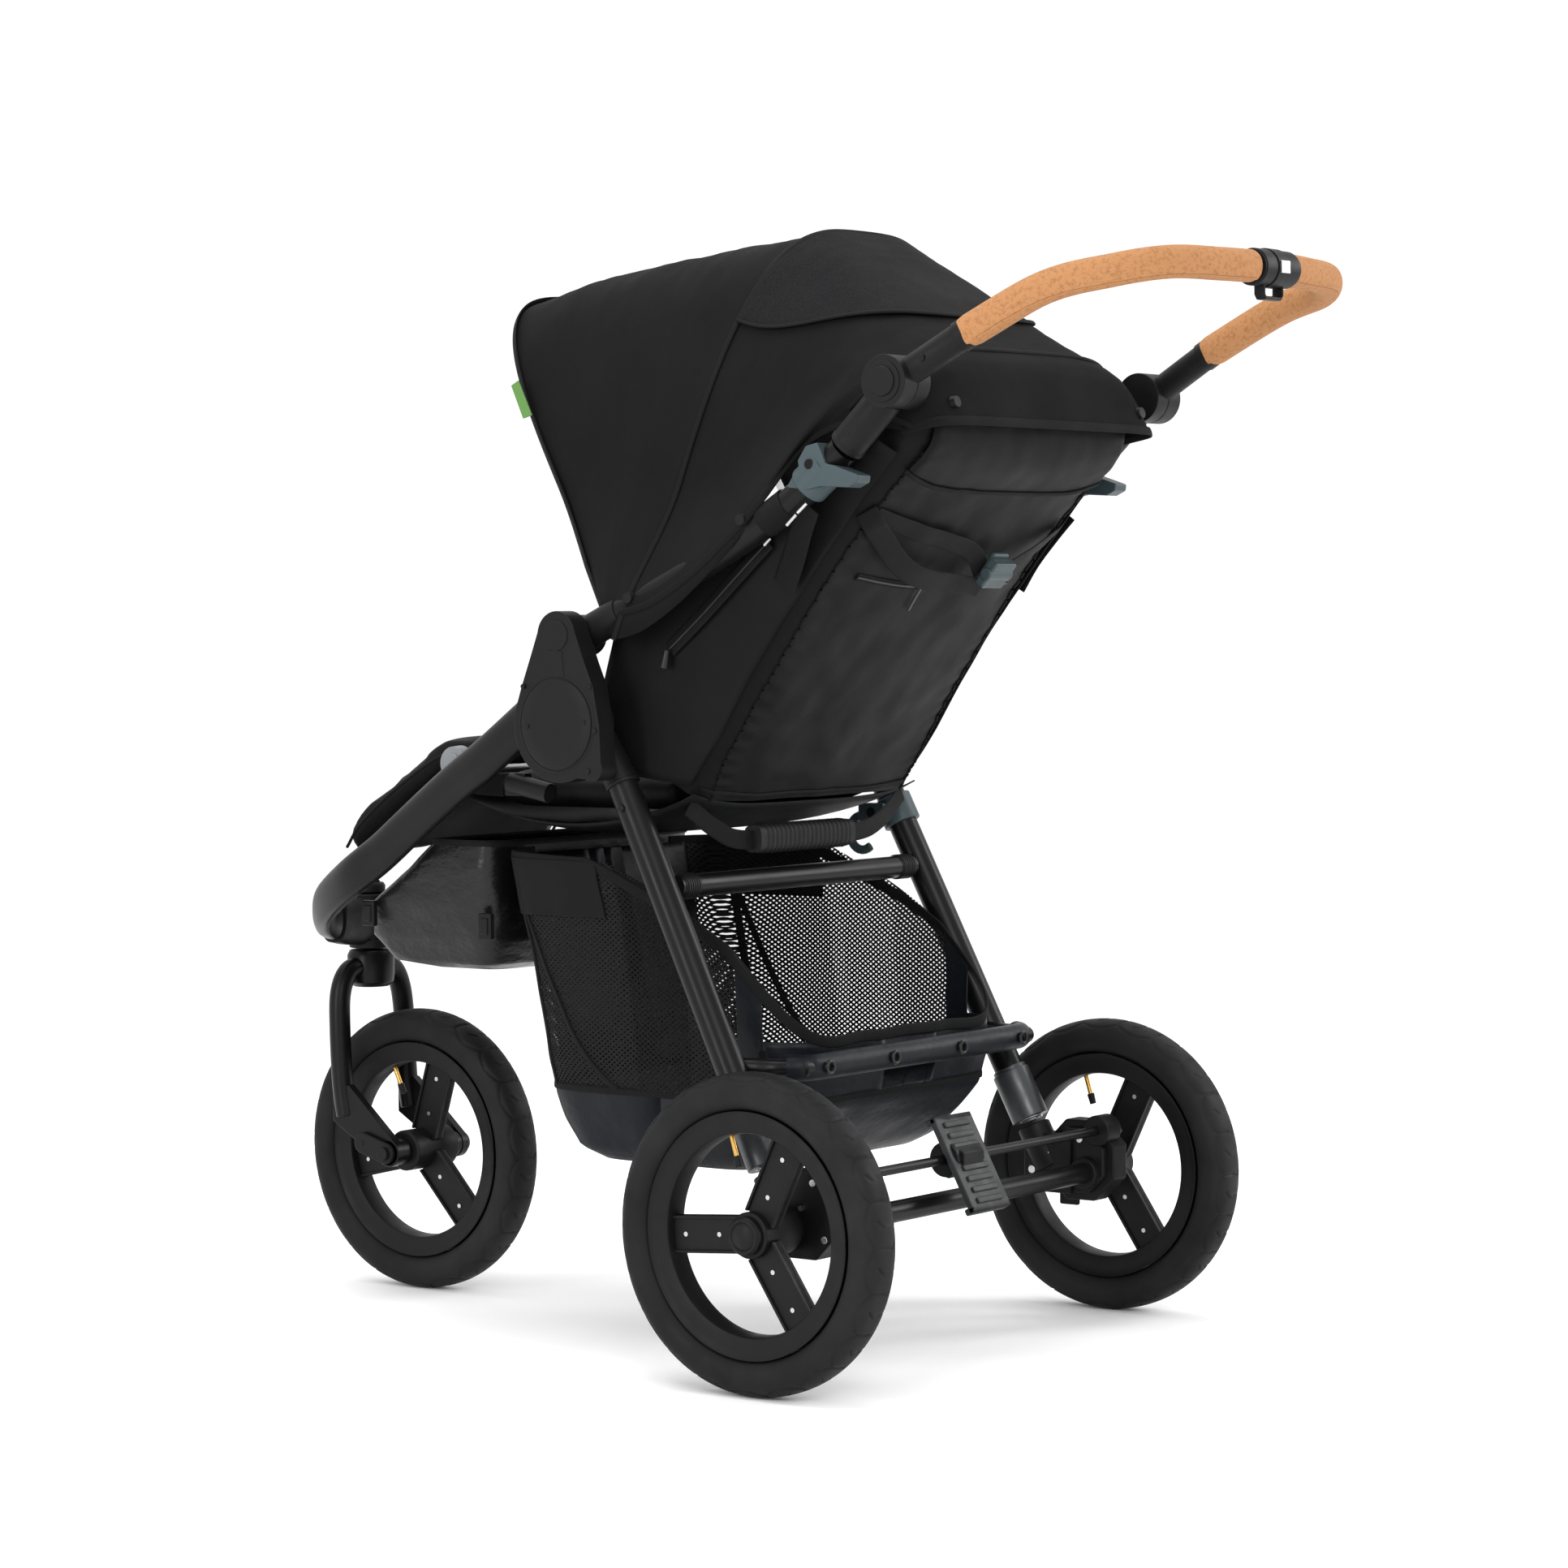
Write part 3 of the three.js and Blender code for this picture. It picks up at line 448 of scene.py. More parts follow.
crown = turned([(0, -44), (20, -44), (26, -39), (27, -30), (27, -8), (24, -2), (0, 0)], Vector(), 48)
crown = crown.moved(Matrix.Translation(at(0, -800, 384)) @ Matrix.Rotation(-math.pi / 2, 4, "Y"))
make("fork_body", fork_form + fork_form.mirrored() + crown, paint, "fork",
     ["front_fork"], bevel=1.2)
stadium = arc(-722, 158.75, 12, -100, 80) + arc(-756, 168.5, 12, 80, 260)
end_cover = plate(stadium, 60.4, 66.5)
make("axle_covers", end_cover + end_cover.mirrored(), moulded, "fork",
     ["front_axle"], bevel=1.6)
bolt = bar(at(60.6, -722, 158.75), at(70.5, -722, 158.75), 7.5, 24) + bar(at(66, -756, 168.5),
        at(67.3, -756, 168.5), 3, 16)
make("axle_bolts", bolt + bolt.mirrored(), moulded, "fork", bevel=0.7)

# Front frame. One oval tube runs from both side hubs down and round the front, through the
# moulded steering head, which carries the swivel lock knob.
half = [(237, -343, 665), (227, -419, 618), (219, -466, 592.5), (211, -514, 564), (204, -556, 538),
        (198, -600, 510),
        (190, -655, 480), (160, -717, 451), (118, -759, 432.5), (80, -781, 423), (45, -793, 417.5)]
front_knots = half + [(0, -798, 415)] + [(-x, y, z) for x, y, z in reversed(half)]
front_path = spline([at(*p) for p in front_knots], 8)
make("front_frame", swept([p - Vector((0, 0, 0.003)) for p in front_path], superellipse(0.0125, 0.0215, 2.5,
        40)), paint, "main_frame",
     ["front_frame_tube_left", "front_frame_tube_right"], bevel=1)
head_path = spline([at(*p) for p in front_knots[9:14]], 10)
head = swept(head_path, superellipse(0.0152, 0.0272, 2.8, 40))
for z0, z1, radius in ((384.5, 394, 24.5), (393, 446, 22.5)):
    head += bar(at(0, -800, z0), at(0, -800, z1), radius, 48)
make("steering_head", head, moulded, "main_frame", ["swivel_housing"], bevel=1.2)
knob_profile = [(0, 0), (15, 0), (17.2, 2), (17.6, 9), (15.5, 12.6), (11, 13.6), (0, 13.8)]
knob = turned(knob_profile, Vector(),
              40).moved(Matrix.Translation(at(0, -800, 446.3)) @ Matrix.Rotation(-math.pi / 2, 4, "Y"))
knob += block(-3, 3, -813, -787, 459.5, 462)
make("swivel_knob", knob, moulded, "swivel_lock", ["swivel_lock_knob"], bevel=0.8)
rivets = Form()
for x, y, z in ((229.4, -375, 645), (225.5, -414, 621), (205.5, -537, 550)):
    rivets += bar(at(x - 2, y, z), at(x + 3.4, y, z), 3.6, 20) + bar(at(x + 3.2, y, z),
            at(x + 4.2, y, z), 2.2, 6)
make("front_frame_rivets", rivets + rivets.mirrored(), moulded, "main_frame", bevel=0.4)

# Side hubs. A teardrop housing holds the fold latch; a plain round cover closes its lower part,
# and a raised boss marks the upper pivot.
teardrop = arc(-291, 742, 25, 172, 10, 20) + [(-254, 715), (-243, 690), (-235, 650)] + arc(-247, 607,
        15, 25, -60, 10)
teardrop += arc(-289, 651, 59.5, -66, -196, 40) + [(-338, 690), (-325, 722)]
housing = plate(teardrop, 240, 264.6) + bar(at(262, -291, 742), at(266, -291, 742), 16, 40)
housing += bar(at(203, -291, 651.6), at(243, -291, 651.6), 8, 24) + bar(at(203, -291, 742),
        at(243, -291, 742), 5, 20)
housing += block(226, 244, -350, -326, 642, 690) + turned([(47.4, 263), (50.6, 263), (50.2, 265.4),
        (47.8, 265.4), (47.4, 263)], at(0, -291, 651.6), 72)
housing += plate([(-299, 727), (-283, 727), (-280, 700), (-302, 700)], 262, 265.6)
disc = turned([(0, 266.9), (30, 266.9), (44.5, 266.4), (46.3, 265.4), (46.6, 263), (0, 263)],
              at(0, -291, 651.6), 72)
bolts = Form()
for y, z, radius in ((-329, 649, 2.6), (-253, 654, 2.6), (-247, 690, 3.2), (-241, 645, 3.2), (-250, 604, 3.2),
                     (-334, 690, 2.6)):
    bolts += bar(at(262, y, z), at(267.6 if radius < 3 else 265.8, y, z), radius, 16)
for side, name in ((1, "left"), (-1, "right")):
    sided = (lambda form: form) if side > 0 else (lambda form: form.mirrored())
    make(f"hub_shell_{name}", sided(housing), moulded, "main_frame",
         [f"hub_housing_{name}"], bevel=2.2)
    make(f"hub_disc_{name}", sided(disc), moulded, "main_frame", [f"hub_cover_{name}"])
    make(f"hub_screws_{name}", sided(bolts), moulded, "main_frame", bevel=0.5)

# Accessory sockets. A short open tube and its bracket on the inside of each front tube; the open end is a
# near-black disc, painted shade for the hollow bore.
socket = bar(at(206, -405, 588), at(206, -350, 577.2), 10.5, 32)
socket_bore_shade = bar(at(206, -352, 577.6), at(206, -349.6, 577.1), 8, 32)
bracket = block(196, 208, -412, -384, 574, 598) + bar(at(207, -398, 586), at(209.4, -398, 586), 4, 20)
# This near-black matte material is painted shade. It stands in for the dark hollow of each socket's bore and of
# the trigger's holes.
hole_shade_black = Finish("painted_hole_shade", (0.003, 0.003, 0.003), 0.8, specular=0.2)
hole_shade_black.feed("Roughness", hole_shade_black.grain(50).ramp(0, 1, 0.75, 0.85))
for side, name in ((1, "left"), (-1, "right")):
    form = socket + bracket
    make(f"accessory_bracket_{name}", form if side > 0 else form.mirrored(), moulded, "main_frame",
         [f"accessory_socket_{name}"], bevel=1.2)
    make(f"accessory_bore_shade_{name}", socket_bore_shade if side > 0 else socket_bore_shade.mirrored(), hole_shade_black, "main_frame")

# Rear legs. Straight round tubes that leave a pinned knuckle below each hub, joined by the
# crossbar with its ribbed end collars.
leg_direction = Vector((0.0277, 0.4513, -0.8919))


def leg(z, offset=0.0):
    return at(222.1, -243.7, 600) + leg_direction * ((600 - z) / 891.9 + offset)


leg_form = bar(leg(596), leg(236), 16, 48)
knuckle = bar(at(207, -291, 651.6), at(237, -291, 651.6), 30, 48) + bar(at(222, -276, 645), leg(590), 17.6, 40)
knuckle += bar(leg(592), leg(588), 18.2, 40)
leg_screws = Form()
for z in (620, 566):
    leg_screws += bar(leg(z) + Vector((0.014, 0, 0)), leg(z) + Vector((0.0189, 0, 0)), 3.8, 20)
for side, name in ((1, "left"), (-1, "right")):
    sided = (lambda form: form) if side > 0 else (lambda form: form.mirrored())
    make(f"rear_leg_tube_{name}", sided(leg_form), paint, "rear_legs",
         [f"rear_leg_{name}"], bevel=1)
    make(f"rear_leg_knuckle_{name}", sided(knuckle), moulded, "rear_legs", bevel=1.2)
    make(f"rear_leg_screws_{name}", sided(leg_screws), moulded, "rear_legs", bevel=0.6)
make("crossbar", bar(at(-205, -185.5, 485), at(205, -185.5, 485), 12, 40), paint, "rear_legs",
     ["leg_crossbar"])
collars = Form()
for side in (-1, 1):
    for k in range(6):
        x0 = side * (178 + 3.6 * k)
        collars += bar(at(x0, -185.5, 485), at(x0 + side * 2.6, -185.5, 485), 13.6, 32)
    collars += bar(at(side * 176, -185.5, 485), at(side * 201, -185.5, 485), 12.8, 32)
make("crossbar_collars", collars, moulded, "rear_legs", bevel=0.5)
bar_knots = [(221, -96, 308.4), (214, -75, 308.4), (209, -50, 308.4), (193, -33, 308.4), (165, -28, 308.4)]
bar_path = spline([at(*p) for p in bar_knots + [(-x, y, z) for x, y, z in reversed(bar_knots)]], 10)
make("basket_bar", swept(bar_path, superellipse(0.009, 0.009, 2, 28)), paint, "rear_legs",
     ["basket_rear_bar"])

# Strap clamp. A slate band on the right leg with a screw, and the ring-shaped hook below it.
slate = Finish("slate_plastic", (0.034, 0.052, 0.058), 0.42, specular=0.3)
slate.feed("Roughness", slate.grain(60, 3).ramp(0.3, 0.7, 0.38, 0.52))
slate.bump(slate.grain(1500, 2), 0.15, 0.0003)
band = bar(leg(558), leg(530), 20.5, 40) + block(192, 210, -246, -212, 533, 553)
hook_ring = swept([at(200, -246 + 17 * math.cos(a), 520 + 19 * math.sin(a)) for a in (math.radians(60 + 14 * k)
        for k in range(19))],
                  superellipse(0.005, 0.0032, 3, 16), upright=Vector((1, 0, 0)))
make("leg_clamp", (band + hook_ring).mirrored(), slate, "rear_legs",
     ["leg_strap_clamp"], bevel=1.4)
make("leg_clamp_screw", (bar(at(190.5, -228, 543), at(193, -228, 543), 5.5, 24)).mirrored(), moulded,
     "rear_legs", bevel=0.6)

# Rear suspension. Each wheel carrier slides on the end of its leg over a coil spring; the axle
# tube joins both carriers and the octagonal housings hold the parking gear.
grey_cast = Finish("shock_grey", (0.05, 0.052, 0.055), 0.36, metallic=0.5)
grey_cast.feed("Roughness", grey_cast.grain(80, 3).ramp(0.3, 0.7, 0.28, 0.42))
shock_sleeve = bar(leg(262), leg(213), 20.5, 40) + bar(leg(266), leg(258), 18.5, 40)
octagon = arc(14, 172, 47, 22.5, 337.5, 7)
gear_case = plate(octagon, 236, 262) + plate([(y * 0.8 + 3, z * 0.8 + 34.5) for y, z in octagon], 228, 237)
gear_case += block(223, 250, -50, 10, 136, 200) + bar(at(226, 41, 206), at(252, 41, 206), 16.5, 32)
gear_case += bar(at(220, 27, 160), at(232, 27, 160), 17, 32) + bar(at(255, 0, 158.75),
        at(271, 0, 158.75), 20, 40)
gear_case += bar(leg(206), leg(162), 18, 32) + block(262, 268, -30, -6, 118, 150)
gear_bolts = Form()
for x, y, z, radius in ((262, 30, 205, 3.6), (262, 44, 150, 3.6), (262, -18, 150, 3.6), (235, -36, 168, 4.2),
                        (222, -20, 178, 3.4)):
    gear_bolts += bar(at(x, y, z), at(x + 2.2, y, z), radius, 20)
inner_bolts = Form()
for x, y, z, radius in ((228, 20, 196, 4), (228, -8, 196, 3.4), (222.6, -38, 160, 4.4)):
    inner_bolts += bar(at(x - 2.2, y, z), at(x, y, z), radius, 20)
spring_path = [leg(212 + 24 * k / 120)
               + Vector((math.cos(k * 0.42), 0.8919 * math.sin(k * 0.42), 0.4513 * math.sin(k * 0.42))) * 0.012
               for k in range(121)]
spring = swept(spring_path, superellipse(0.0018, 0.0018, 2, 10), upright=leg_direction)
for side, name in ((1, "left"), (-1, "right")):
    sided = (lambda form: form) if side > 0 else (lambda form: form.mirrored())
    make(f"shock_sleeve_{name}", sided(shock_sleeve), grey_cast, "rear_axle", bevel=1)
    make(f"wheel_carrier_{name}", sided(gear_case), moulded, "rear_axle",
         [f"suspension_carrier_{name}"], bevel=2)
    make(f"carrier_bolts_{name}", sided(gear_bolts + inner_bolts), zinc, "rear_axle", bevel=0.5)
    make(f"shock_spring_{name}", sided(spring), zinc, "rear_axle", [f"suspension_spring_{name}"])
make("axle_bar", bar(at(-224, 27, 160), at(224, 27, 160), 11, 40), paint, "rear_axle",
     ["axle_tube"])

# Parking brake. The ribbed foot pedal turns the long rod between the housings, which pushes a
# steel pin into each toothed hub.
pedal_grey = Finish("pedal_grey", (0.02, 0.021, 0.022), 0.5, specular=0.25)
pedal_grey.feed("Roughness", pedal_grey.grain(60, 3).ramp(0.3, 0.7, 0.42, 0.58))
pedal_grey.bump(pedal_grey.grain(1600, 2), 0.2, 0.0003)
rod = bar(at(-243, 41, 206), at(243, 41, 206), 5, 28)
make("brake_rod", rod, paint, "brake_pedal", ["brake_pedal"])
tread = block(-33, 33, -4, 3, -53, 53).moved(Matrix.Translation((0, -axle_behind / 1000, 0)))
for k in range(8):
    z = -42 + 12 * k
    tread += block(-22, 22, 2.5, 5.6, z - 3.2, z + 3.2).moved(Matrix.Translation((0, -axle_behind / 1000, 0)))
for z in (-53, 46):
    tread += block(-33, 33, -9, 3, z, z + 7).moved(Matrix.Translation((0, -axle_behind / 1000, 0)))
tread = tread.moved(Matrix.Translation(at(30, 56, 202)) @ Matrix.Rotation(0.5, 4, "X"))
make("pedal_plate", tread, pedal_grey, "brake_pedal", bevel=1.6)
boss = bar(at(8, 41, 206), at(56, 41, 206), 18, 40) + plate([(28, 190), (42, 186), (62, 196), (62, 214),
        (40, 224)], 14, 50)
make("pedal_boss", boss, moulded, "brake_pedal", bevel=1.5)
pin = bar(at(238, 17.5, 179.6), at(267, 17.5, 179.6), 2.8, 16)
make("park_pin_left", pin, zinc, "brake_pin_left", ["brake_pin_left"])
make("park_pin_right", pin.mirrored(), zinc, "brake_pin_right", ["brake_pin_right"])

# Upper frame. Two tubes rise from the upper pivots to the handle knuckles, with a slate trigger
# sleeve on each.
upper_path = spline([at(222, y, z) for y, z in ((-246, 761), (-150, 803), (-80, 838), (-11, 877.5),
        (46, 922.5))], 12)
upper = swept(upper_path, superellipse(0.0155, 0.0155, 2, 40))
fold_knuckle = bar(at(207, -291, 742), at(237, -291, 742), 21, 40) + bar(at(222, -287, 743),
        at(222, -236, 765.5), 17, 40)
fold_knuckle += bar(at(184, -258, 742), at(214, -258, 742), 5, 20)
sleeve = bar(at(222, 50, 926.2), at(222, 98, 971.5), 18.2, 40) + bar(at(222, 49, 925.2),
        at(222, 53, 929), 18.8, 40)
sleeve += bar(at(205, 112.3, 984.8), at(226, 112.3, 984.8), 26, 48) + bar(at(236, 62, 938),
        at(240.6, 62, 938), 4, 20)
trigger = bar(at(222, 1, 886.9), at(222, 28, 908.2), 20.6, 40)
wing = [(2, 912), (12, 926), (26, 929), (31, 920), (36, 908), (46, 906), (76, 896), (75, 889), (64, 884),
        (30, 886), (8, 882)]
trigger += plate(wing, 219, 241) + plate([(-14, 886), (-2, 904), (8, 912), (12, 900), (2, 884)], 224, 238)
# The trigger's holes are near-black discs on its surface, painted shade where the holes are.
trigger_hole_shade = bar(at(240.6, 17, 908), at(242.6, 17, 908), 5, 24) + bar(at(237.6, -1, 894),
        at(239.4, -1, 894), 3.4, 24)
for side, name in ((1, "left"), (-1, "right")):
    sided = (lambda form: form) if side > 0 else (lambda form: form.mirrored())
    make(f"upper_tube_{name}", sided(upper), paint, "upper_frame", [f"upper_frame_tube_{name}"])
    make(f"fold_knuckle_{name}", sided(fold_knuckle), moulded, "upper_frame", bevel=1)
    make(f"handle_sleeve_{name}", sided(sleeve), moulded, "upper_frame",
         [f"handle_knuckle_{name}"], bevel=1)
    make(f"trigger_{name}", sided(trigger), slate, f"trigger_{name}",
         [f"fold_trigger_{name}"], bevel=1.6)
    make(f"trigger_hole_shade_{name}", sided(trigger_hole_shade), hole_shade_black, f"trigger_{name}")

# Handlebar. Round joints with push buttons carry the arms; the bent bar wears two cork sleeves
# that meet at the middle clamp.
arm = bar(at(226.6, 112.3, 984.8), at(249, 112.3, 984.8), 26, 56) + bar(at(249, 112.3, 984.8),
        at(250.4, 112.3, 984.8), 20, 48)
arm += bar(at(229, 118, 988), at(220.6, 191.1, 1028.4), 14.4, 40) + bar(at(221.4, 184, 1024.5),
        at(220.4, 193, 1029.4), 15.6, 40)
arm_screws = bar(at(237.5, 152, 1006), at(241.4, 152, 1006), 3.6, 20)
button = bar(at(246, 112.3, 984.8), at(252.6, 112.3, 984.8), 14.6, 48)
cork = Finish("cork", (0.33, 0.15, 0.062), 0.8, specular=0.15)
flecks = cork.cells(420, (1, 1, 1)).ramp(0.05, 0.22)
cork_tone = cork.grain(240, 4, 0.7).ramp(0.35, 0.68)
cork.feed("Base Color", (flecks * 0.45 + cork_tone * 0.55).ramp(0.12, 0.72).colours((0.17, 0.062, 0.02),
        (0.385, 0.185, 0.078)))
cork.feed("Roughness", cork.grain(160, 3).ramp(0.3, 0.7, 0.68, 0.86))
cork.bump(flecks, 0.25, 0.0005)
for side, name in ((1, "left"), (-1, "right")):
    sided = (lambda form: form) if side > 0 else (lambda form: form.mirrored())
    make(f"handle_joint_{name}", sided(arm), moulded, "handlebar",
         [f"handle_arm_{name}"], bevel=1.4)
    make(f"handle_screw_{name}", sided(arm_screws), moulded, "handlebar", bevel=0.5)
    make(f"push_button_{name}", sided(button), moulded, f"button_{name}",
         [f"handle_button_{name}"], bevel=1.6)
grip_knots = [(220.6, 191.1, 1028.4), (213.8, 275.4, 1066.7), (191.1, 337.9, 1081.1), (145.2, 373, 1089.8),
              (76.7, 388, 1091.1), (33, 393, 1091.5)]
grip_path = spline([at(*p) for p in grip_knots], 14)
round_grip = [(u, v * (0.93 if v < -0.014 else 1)) for u, v in superellipse(0.0162, 0.0165, 2.15, 40)]
grip = swept(grip_path, round_grip, scale=lambda t: min(1, 0.93 + 6 * t, 0.93 + 6 * (1 - t)))
seam_section = [(u + 0.0115, v - 0.0115) for u, v in superellipse(0.0006, 0.0006, 2, 8)]
seam = swept(grip_path[2:-2], seam_section)
cork_dark = Finish("cork_seam", (0.22, 0.085, 0.03), 0.85, specular=0.2)
cork_dark.feed("Roughness", cork_dark.grain(200).ramp(0, 1, 0.8, 0.9))
for side, name in ((1, "left"), (-1, "right")):
    sided = (lambda form: form) if side > 0 else (lambda form: form.mirrored())
    make(f"cork_sleeve_{name}", sided(grip), cork, "handlebar", [f"cork_grip_{name}"])
    make(f"cork_seam_{name}", sided(seam), cork_dark, "handlebar")
bar_inner = spline([at(*p) for p in grip_knots + [(-x, y, z) for x, y, z in reversed(grip_knots)]], 8)
make("handle_tube", swept(bar_inner, superellipse(0.0102, 0.0102, 2, 20)), paint, "handlebar",
     ["handlebar_tube"])
clamp = Form()
for x0, x1, radius in ((-31, -11.5, 18.2), (-10.5, 10.5, 19.2), (11.5, 31, 18.2), (-33, -29.5, 17.4),
                       (29.5, 33, 17.4)):
    clamp += bar(at(x0, 393.6, 1091.5), at(x1, 393.6, 1091.5), radius, 48)
loop = [at(x, 394, z) for x, z in ((-17, 1078), (-17, 1066), (-14, 1062.5), (14, 1062.5),
                                   (17, 1066), (17, 1078))]
clamp += swept(loop, superellipse(0.0019, 0.006, 4, 12), upright=Vector((0, 1, 0)))
make("handle_centre_clamp", clamp, moulded, "handlebar", ["handle_clamp"], bevel=0.8)
make("clamp_plate", block(-8, 8, 411, 413.6, 1086, 1098), zinc, "handlebar", bevel=0.6)

# Canopy. Two black twill sheets over flat steel bows: the front one from the front bow to the
# main bow, the rear one from the main bow back to the flap over the seat's top.
def cloth(name, colour, roughness, weave, bump, specular=0.09):
    made = Finish(name, colour, roughness, specular=specular)
    twill = made.stripes(weave, (0.5, 0.7, 0.8)) * made.stripes(weave, (-0.6, 0.4, -0.7))
    made.feed("Roughness", made.grain(14, 3).ramp(0.3, 0.7, roughness - 0.06, roughness + 0.06))
    made.bump(twill, bump, 0.0004)
    made.bump(made.grain(26, 3, 0.55), 0.22, 0.0035)
    return made


canopy_twill = cloth("canopy_twill", (0.0055, 0.0055, 0.0058), 0.82, 420, 0.35)
melange = cloth("canopy_melange", (0.010, 0.010, 0.0105), 0.85, 420, 0.35)
melange.feed("Base Color", melange.grain(900, 3, 0.7).ramp(0.42, 0.62).colours((0.0055, 0.0055, 0.00594),
        (0.014, 0.014, 0.01512)))
binding = cloth("binding_tape", (0.006, 0.006, 0.0065), 0.7, 900, 0.5)


def arch_point(station, a, lift=0.0):
    base_y, base_z, top_y, top_z, width, exponent, flare = station
    rise = Vector((0, top_y - base_y, top_z - base_z))
    angle = math.pi * a
    sine = max(0.0, math.sin(angle))
    height = (1 + lift / rise.length) * sine ** (2 / exponent)
    skirt = flare * 0.5 * (1 + math.cos(math.pi * min(1, rise.length * height / 170)))
    side = (width + lift) * power(math.cos(angle), 2 / exponent) + math.copysign(skirt, math.cos(angle))
    return at(side, base_y + rise.y * height, base_z + rise.z * height)


def station_at(stations, u):
    k = min(int(u), len(stations) - 2)
    t = u - k
    around = [stations[max(0, min(len(stations) - 1, k + d))] for d in (-1, 0, 1, 2)]
    return [0.5 * (2 * p1 + (p2 - p0) * t + (2 * p0 - 5 * p1 + 4 * p2 - p3) * t * t
                   + (3 * p1 - p0 - 3 * p2 + p3) * t ** 3)
            for p0, p1, p2, p3 in zip(*around)]


def draped(stations, u0, u1, a0, a1, rows, columns, lift=0.0, fold=0.0, sag=0.0, seed=0.0):
    rings = []
    for r in range(rows + 1):
        ring = []
        for c in range(columns + 1):
            a = a0 + (a1 - a0) * c / columns
            start = u0(a) if callable(u0) else u0
            end = u1(a) if callable(u1) else u1
            u = start + (end - start) * r / rows
            station = station_at(stations, u)
            p = arch_point(station, a, lift)
            hang = abs(math.sin(math.pi * u)) if sag else 0
            crease = noise.noise(Vector((u * 2.1 + seed, a * 13, seed))) + 0.5 * noise.noise(Vector((u * 6,
                    a * 9 + seed, 3)))
            centre = at(0, station[0] * 0.6 + station[2] * 0.4, station[1] * 0.5 + station[3] * 0.5)
            inward = (centre - p).normalized()
            ring.append(p + inward * (sag * hang * math.sin(math.pi * a)
                                      + fold * crease * math.sin(math.pi * a) ** 0.3) / 1000)
        rings.append(ring)
    return skin(rings, around=False, caps=False)


def thicken(made, thickness, offset=-1.0):
    wall = made.modifiers.new("thickness", "SOLIDIFY")
    wall.thickness = thickness / 1000
    wall.offset = offset
    bpy.context.view_layer.update()
    graph = bpy.context.evaluated_depsgraph_get()
    finished = bpy.data.meshes.new_from_object(made.evaluated_get(graph))
    made.modifiers.clear()
    made.data = finished
    return made


front_stations = [
    (-259, 752, -455, 1101, 198, 4.2, 20), (-259, 752, -376, 1121, 199, 3.9, 26),
    (-252, 748, -286, 1135, 200, 3.6, 32),
    (-244, 744, -190, 1146, 200.5, 3.4, 36), (-234, 740, -95, 1155, 201.5, 3.2, 40),
]
rear_stations = [
    (-232, 737, -92, 1156, 202.5, 3.2, 41), (-190, 748, -58, 1134, 203, 3.3, 42),
    (-132, 784, -12, 1105, 202.5, 3.4, 42),
    (-66, 846, 42, 1069, 201, 3.6, 36), (-22, 920, 96, 1032, 199, 4, 8), (44, 942, 130, 1004, 197, 5, 0),
    (98, 940, 148, 948, 195, 7, 0),
]
fold_axis, fold_anchor = (0, -0.524, 0.852), at(0, -291, 742)


def folds_flat(made):
    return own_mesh(made)


front_sheet = make("canopy_front_sheet", draped(front_stations, 0, 4, 0, 1, 64, 160, fold=1.6,
        sag=1.5, seed=2.0),
                   canopy_twill, "canopy_front", ["canopy_front_panel"], crease=180)
folds_flat(thicken(front_sheet, 1.6))
rear_sheet = make("canopy_rear_sheet", draped(rear_stations, 0, 6, 0, 1, 84, 160, fold=1.3, seed=5.0),
                  canopy_twill, "upper_frame", ["canopy_rear_panel"], crease=180)
folds_flat(thicken(rear_sheet, 1.6))
vent = draped(rear_stations, 0.02, lambda a: 0.05
              + 3.25 * max(0, math.sin(math.pi * (a - 0.225) / 0.55)) ** 0.33, 0.225, 0.775,
              40, 90, lift=2.4, fold=0.8, seed=9.0)
vent_sheet = make("canopy_vent_flap", vent, melange, "upper_frame", crease=180)
folds_flat(thicken(vent_sheet, 1.4))


def tape(name, path, width, thickness, body, side_way, finish=None, bulge=2.2):
    section = superellipse(thickness / 2000, width / 2000, bulge, 12)
    rings = []
    for i, p in enumerate(path):
        forward = (path[min(i + 1, len(path) - 1)] - path[max(i - 1, 0)]).normalized()
        way = side_way(i) if callable(side_way) else side_way
        out = forward.cross(way).normalized()
        flat = out.cross(forward)
        rings.append([p + out * u + flat * v for u, v in section])
    return make(name, skin(rings), finish or binding, body, crease=60)


def vent_line(t):
    across = 0.5 - 0.5 * math.cos(math.pi * t)
    return max(0, math.sin(math.pi * across)) ** 0.33, 0.225 + 0.55 * across


for name, stations, body, u_line, a_line in (
    ("front_hem", front_stations, "canopy_front", lambda t: 0.02, lambda t: t),
    ("main_seam", rear_stations, "upper_frame", lambda t: 0.03, lambda t: t),
    ("rear_ridge", rear_stations, "upper_frame", lambda t: 4.35, lambda t: 0.03 + 0.94 * t),
    ("rear_hem", rear_stations, "upper_frame", lambda t: 5.97, lambda t: t),
    ("vent_hem", rear_stations, "upper_frame", lambda t: 0.05 + 3.25 * vent_line(t)[0],
     lambda t: vent_line(t)[1]),
    ("side_hem_left", rear_stations, "upper_frame", lambda t: 6 * t, lambda t: 0.004),
    ("side_hem_right", rear_stations, "upper_frame", lambda t: 6 * t, lambda t: 0.996),
):
    lift = 3.6 if name == "vent_hem" else 1.0
    path = [arch_point(station_at(stations, u_line(i / 120)), a_line(i / 120), lift) for i in range(121)]
    centre = at(0, -150, 850)
    inside = [(centre - p).normalized() for p in path]
    wide = {"front_hem": 11, "main_seam": 7, "rear_ridge": 5, "rear_hem": 10, "vent_hem": 5}.get(name, 8)
    ways = [(path[min(i + 1, 120)] - path[max(i - 1, 0)]).cross(inside[i]).normalized() for i in range(121)]
    folds_flat(tape(f"canopy_{name}", path, wide, 2.6, body, lambda i: ways[i]))

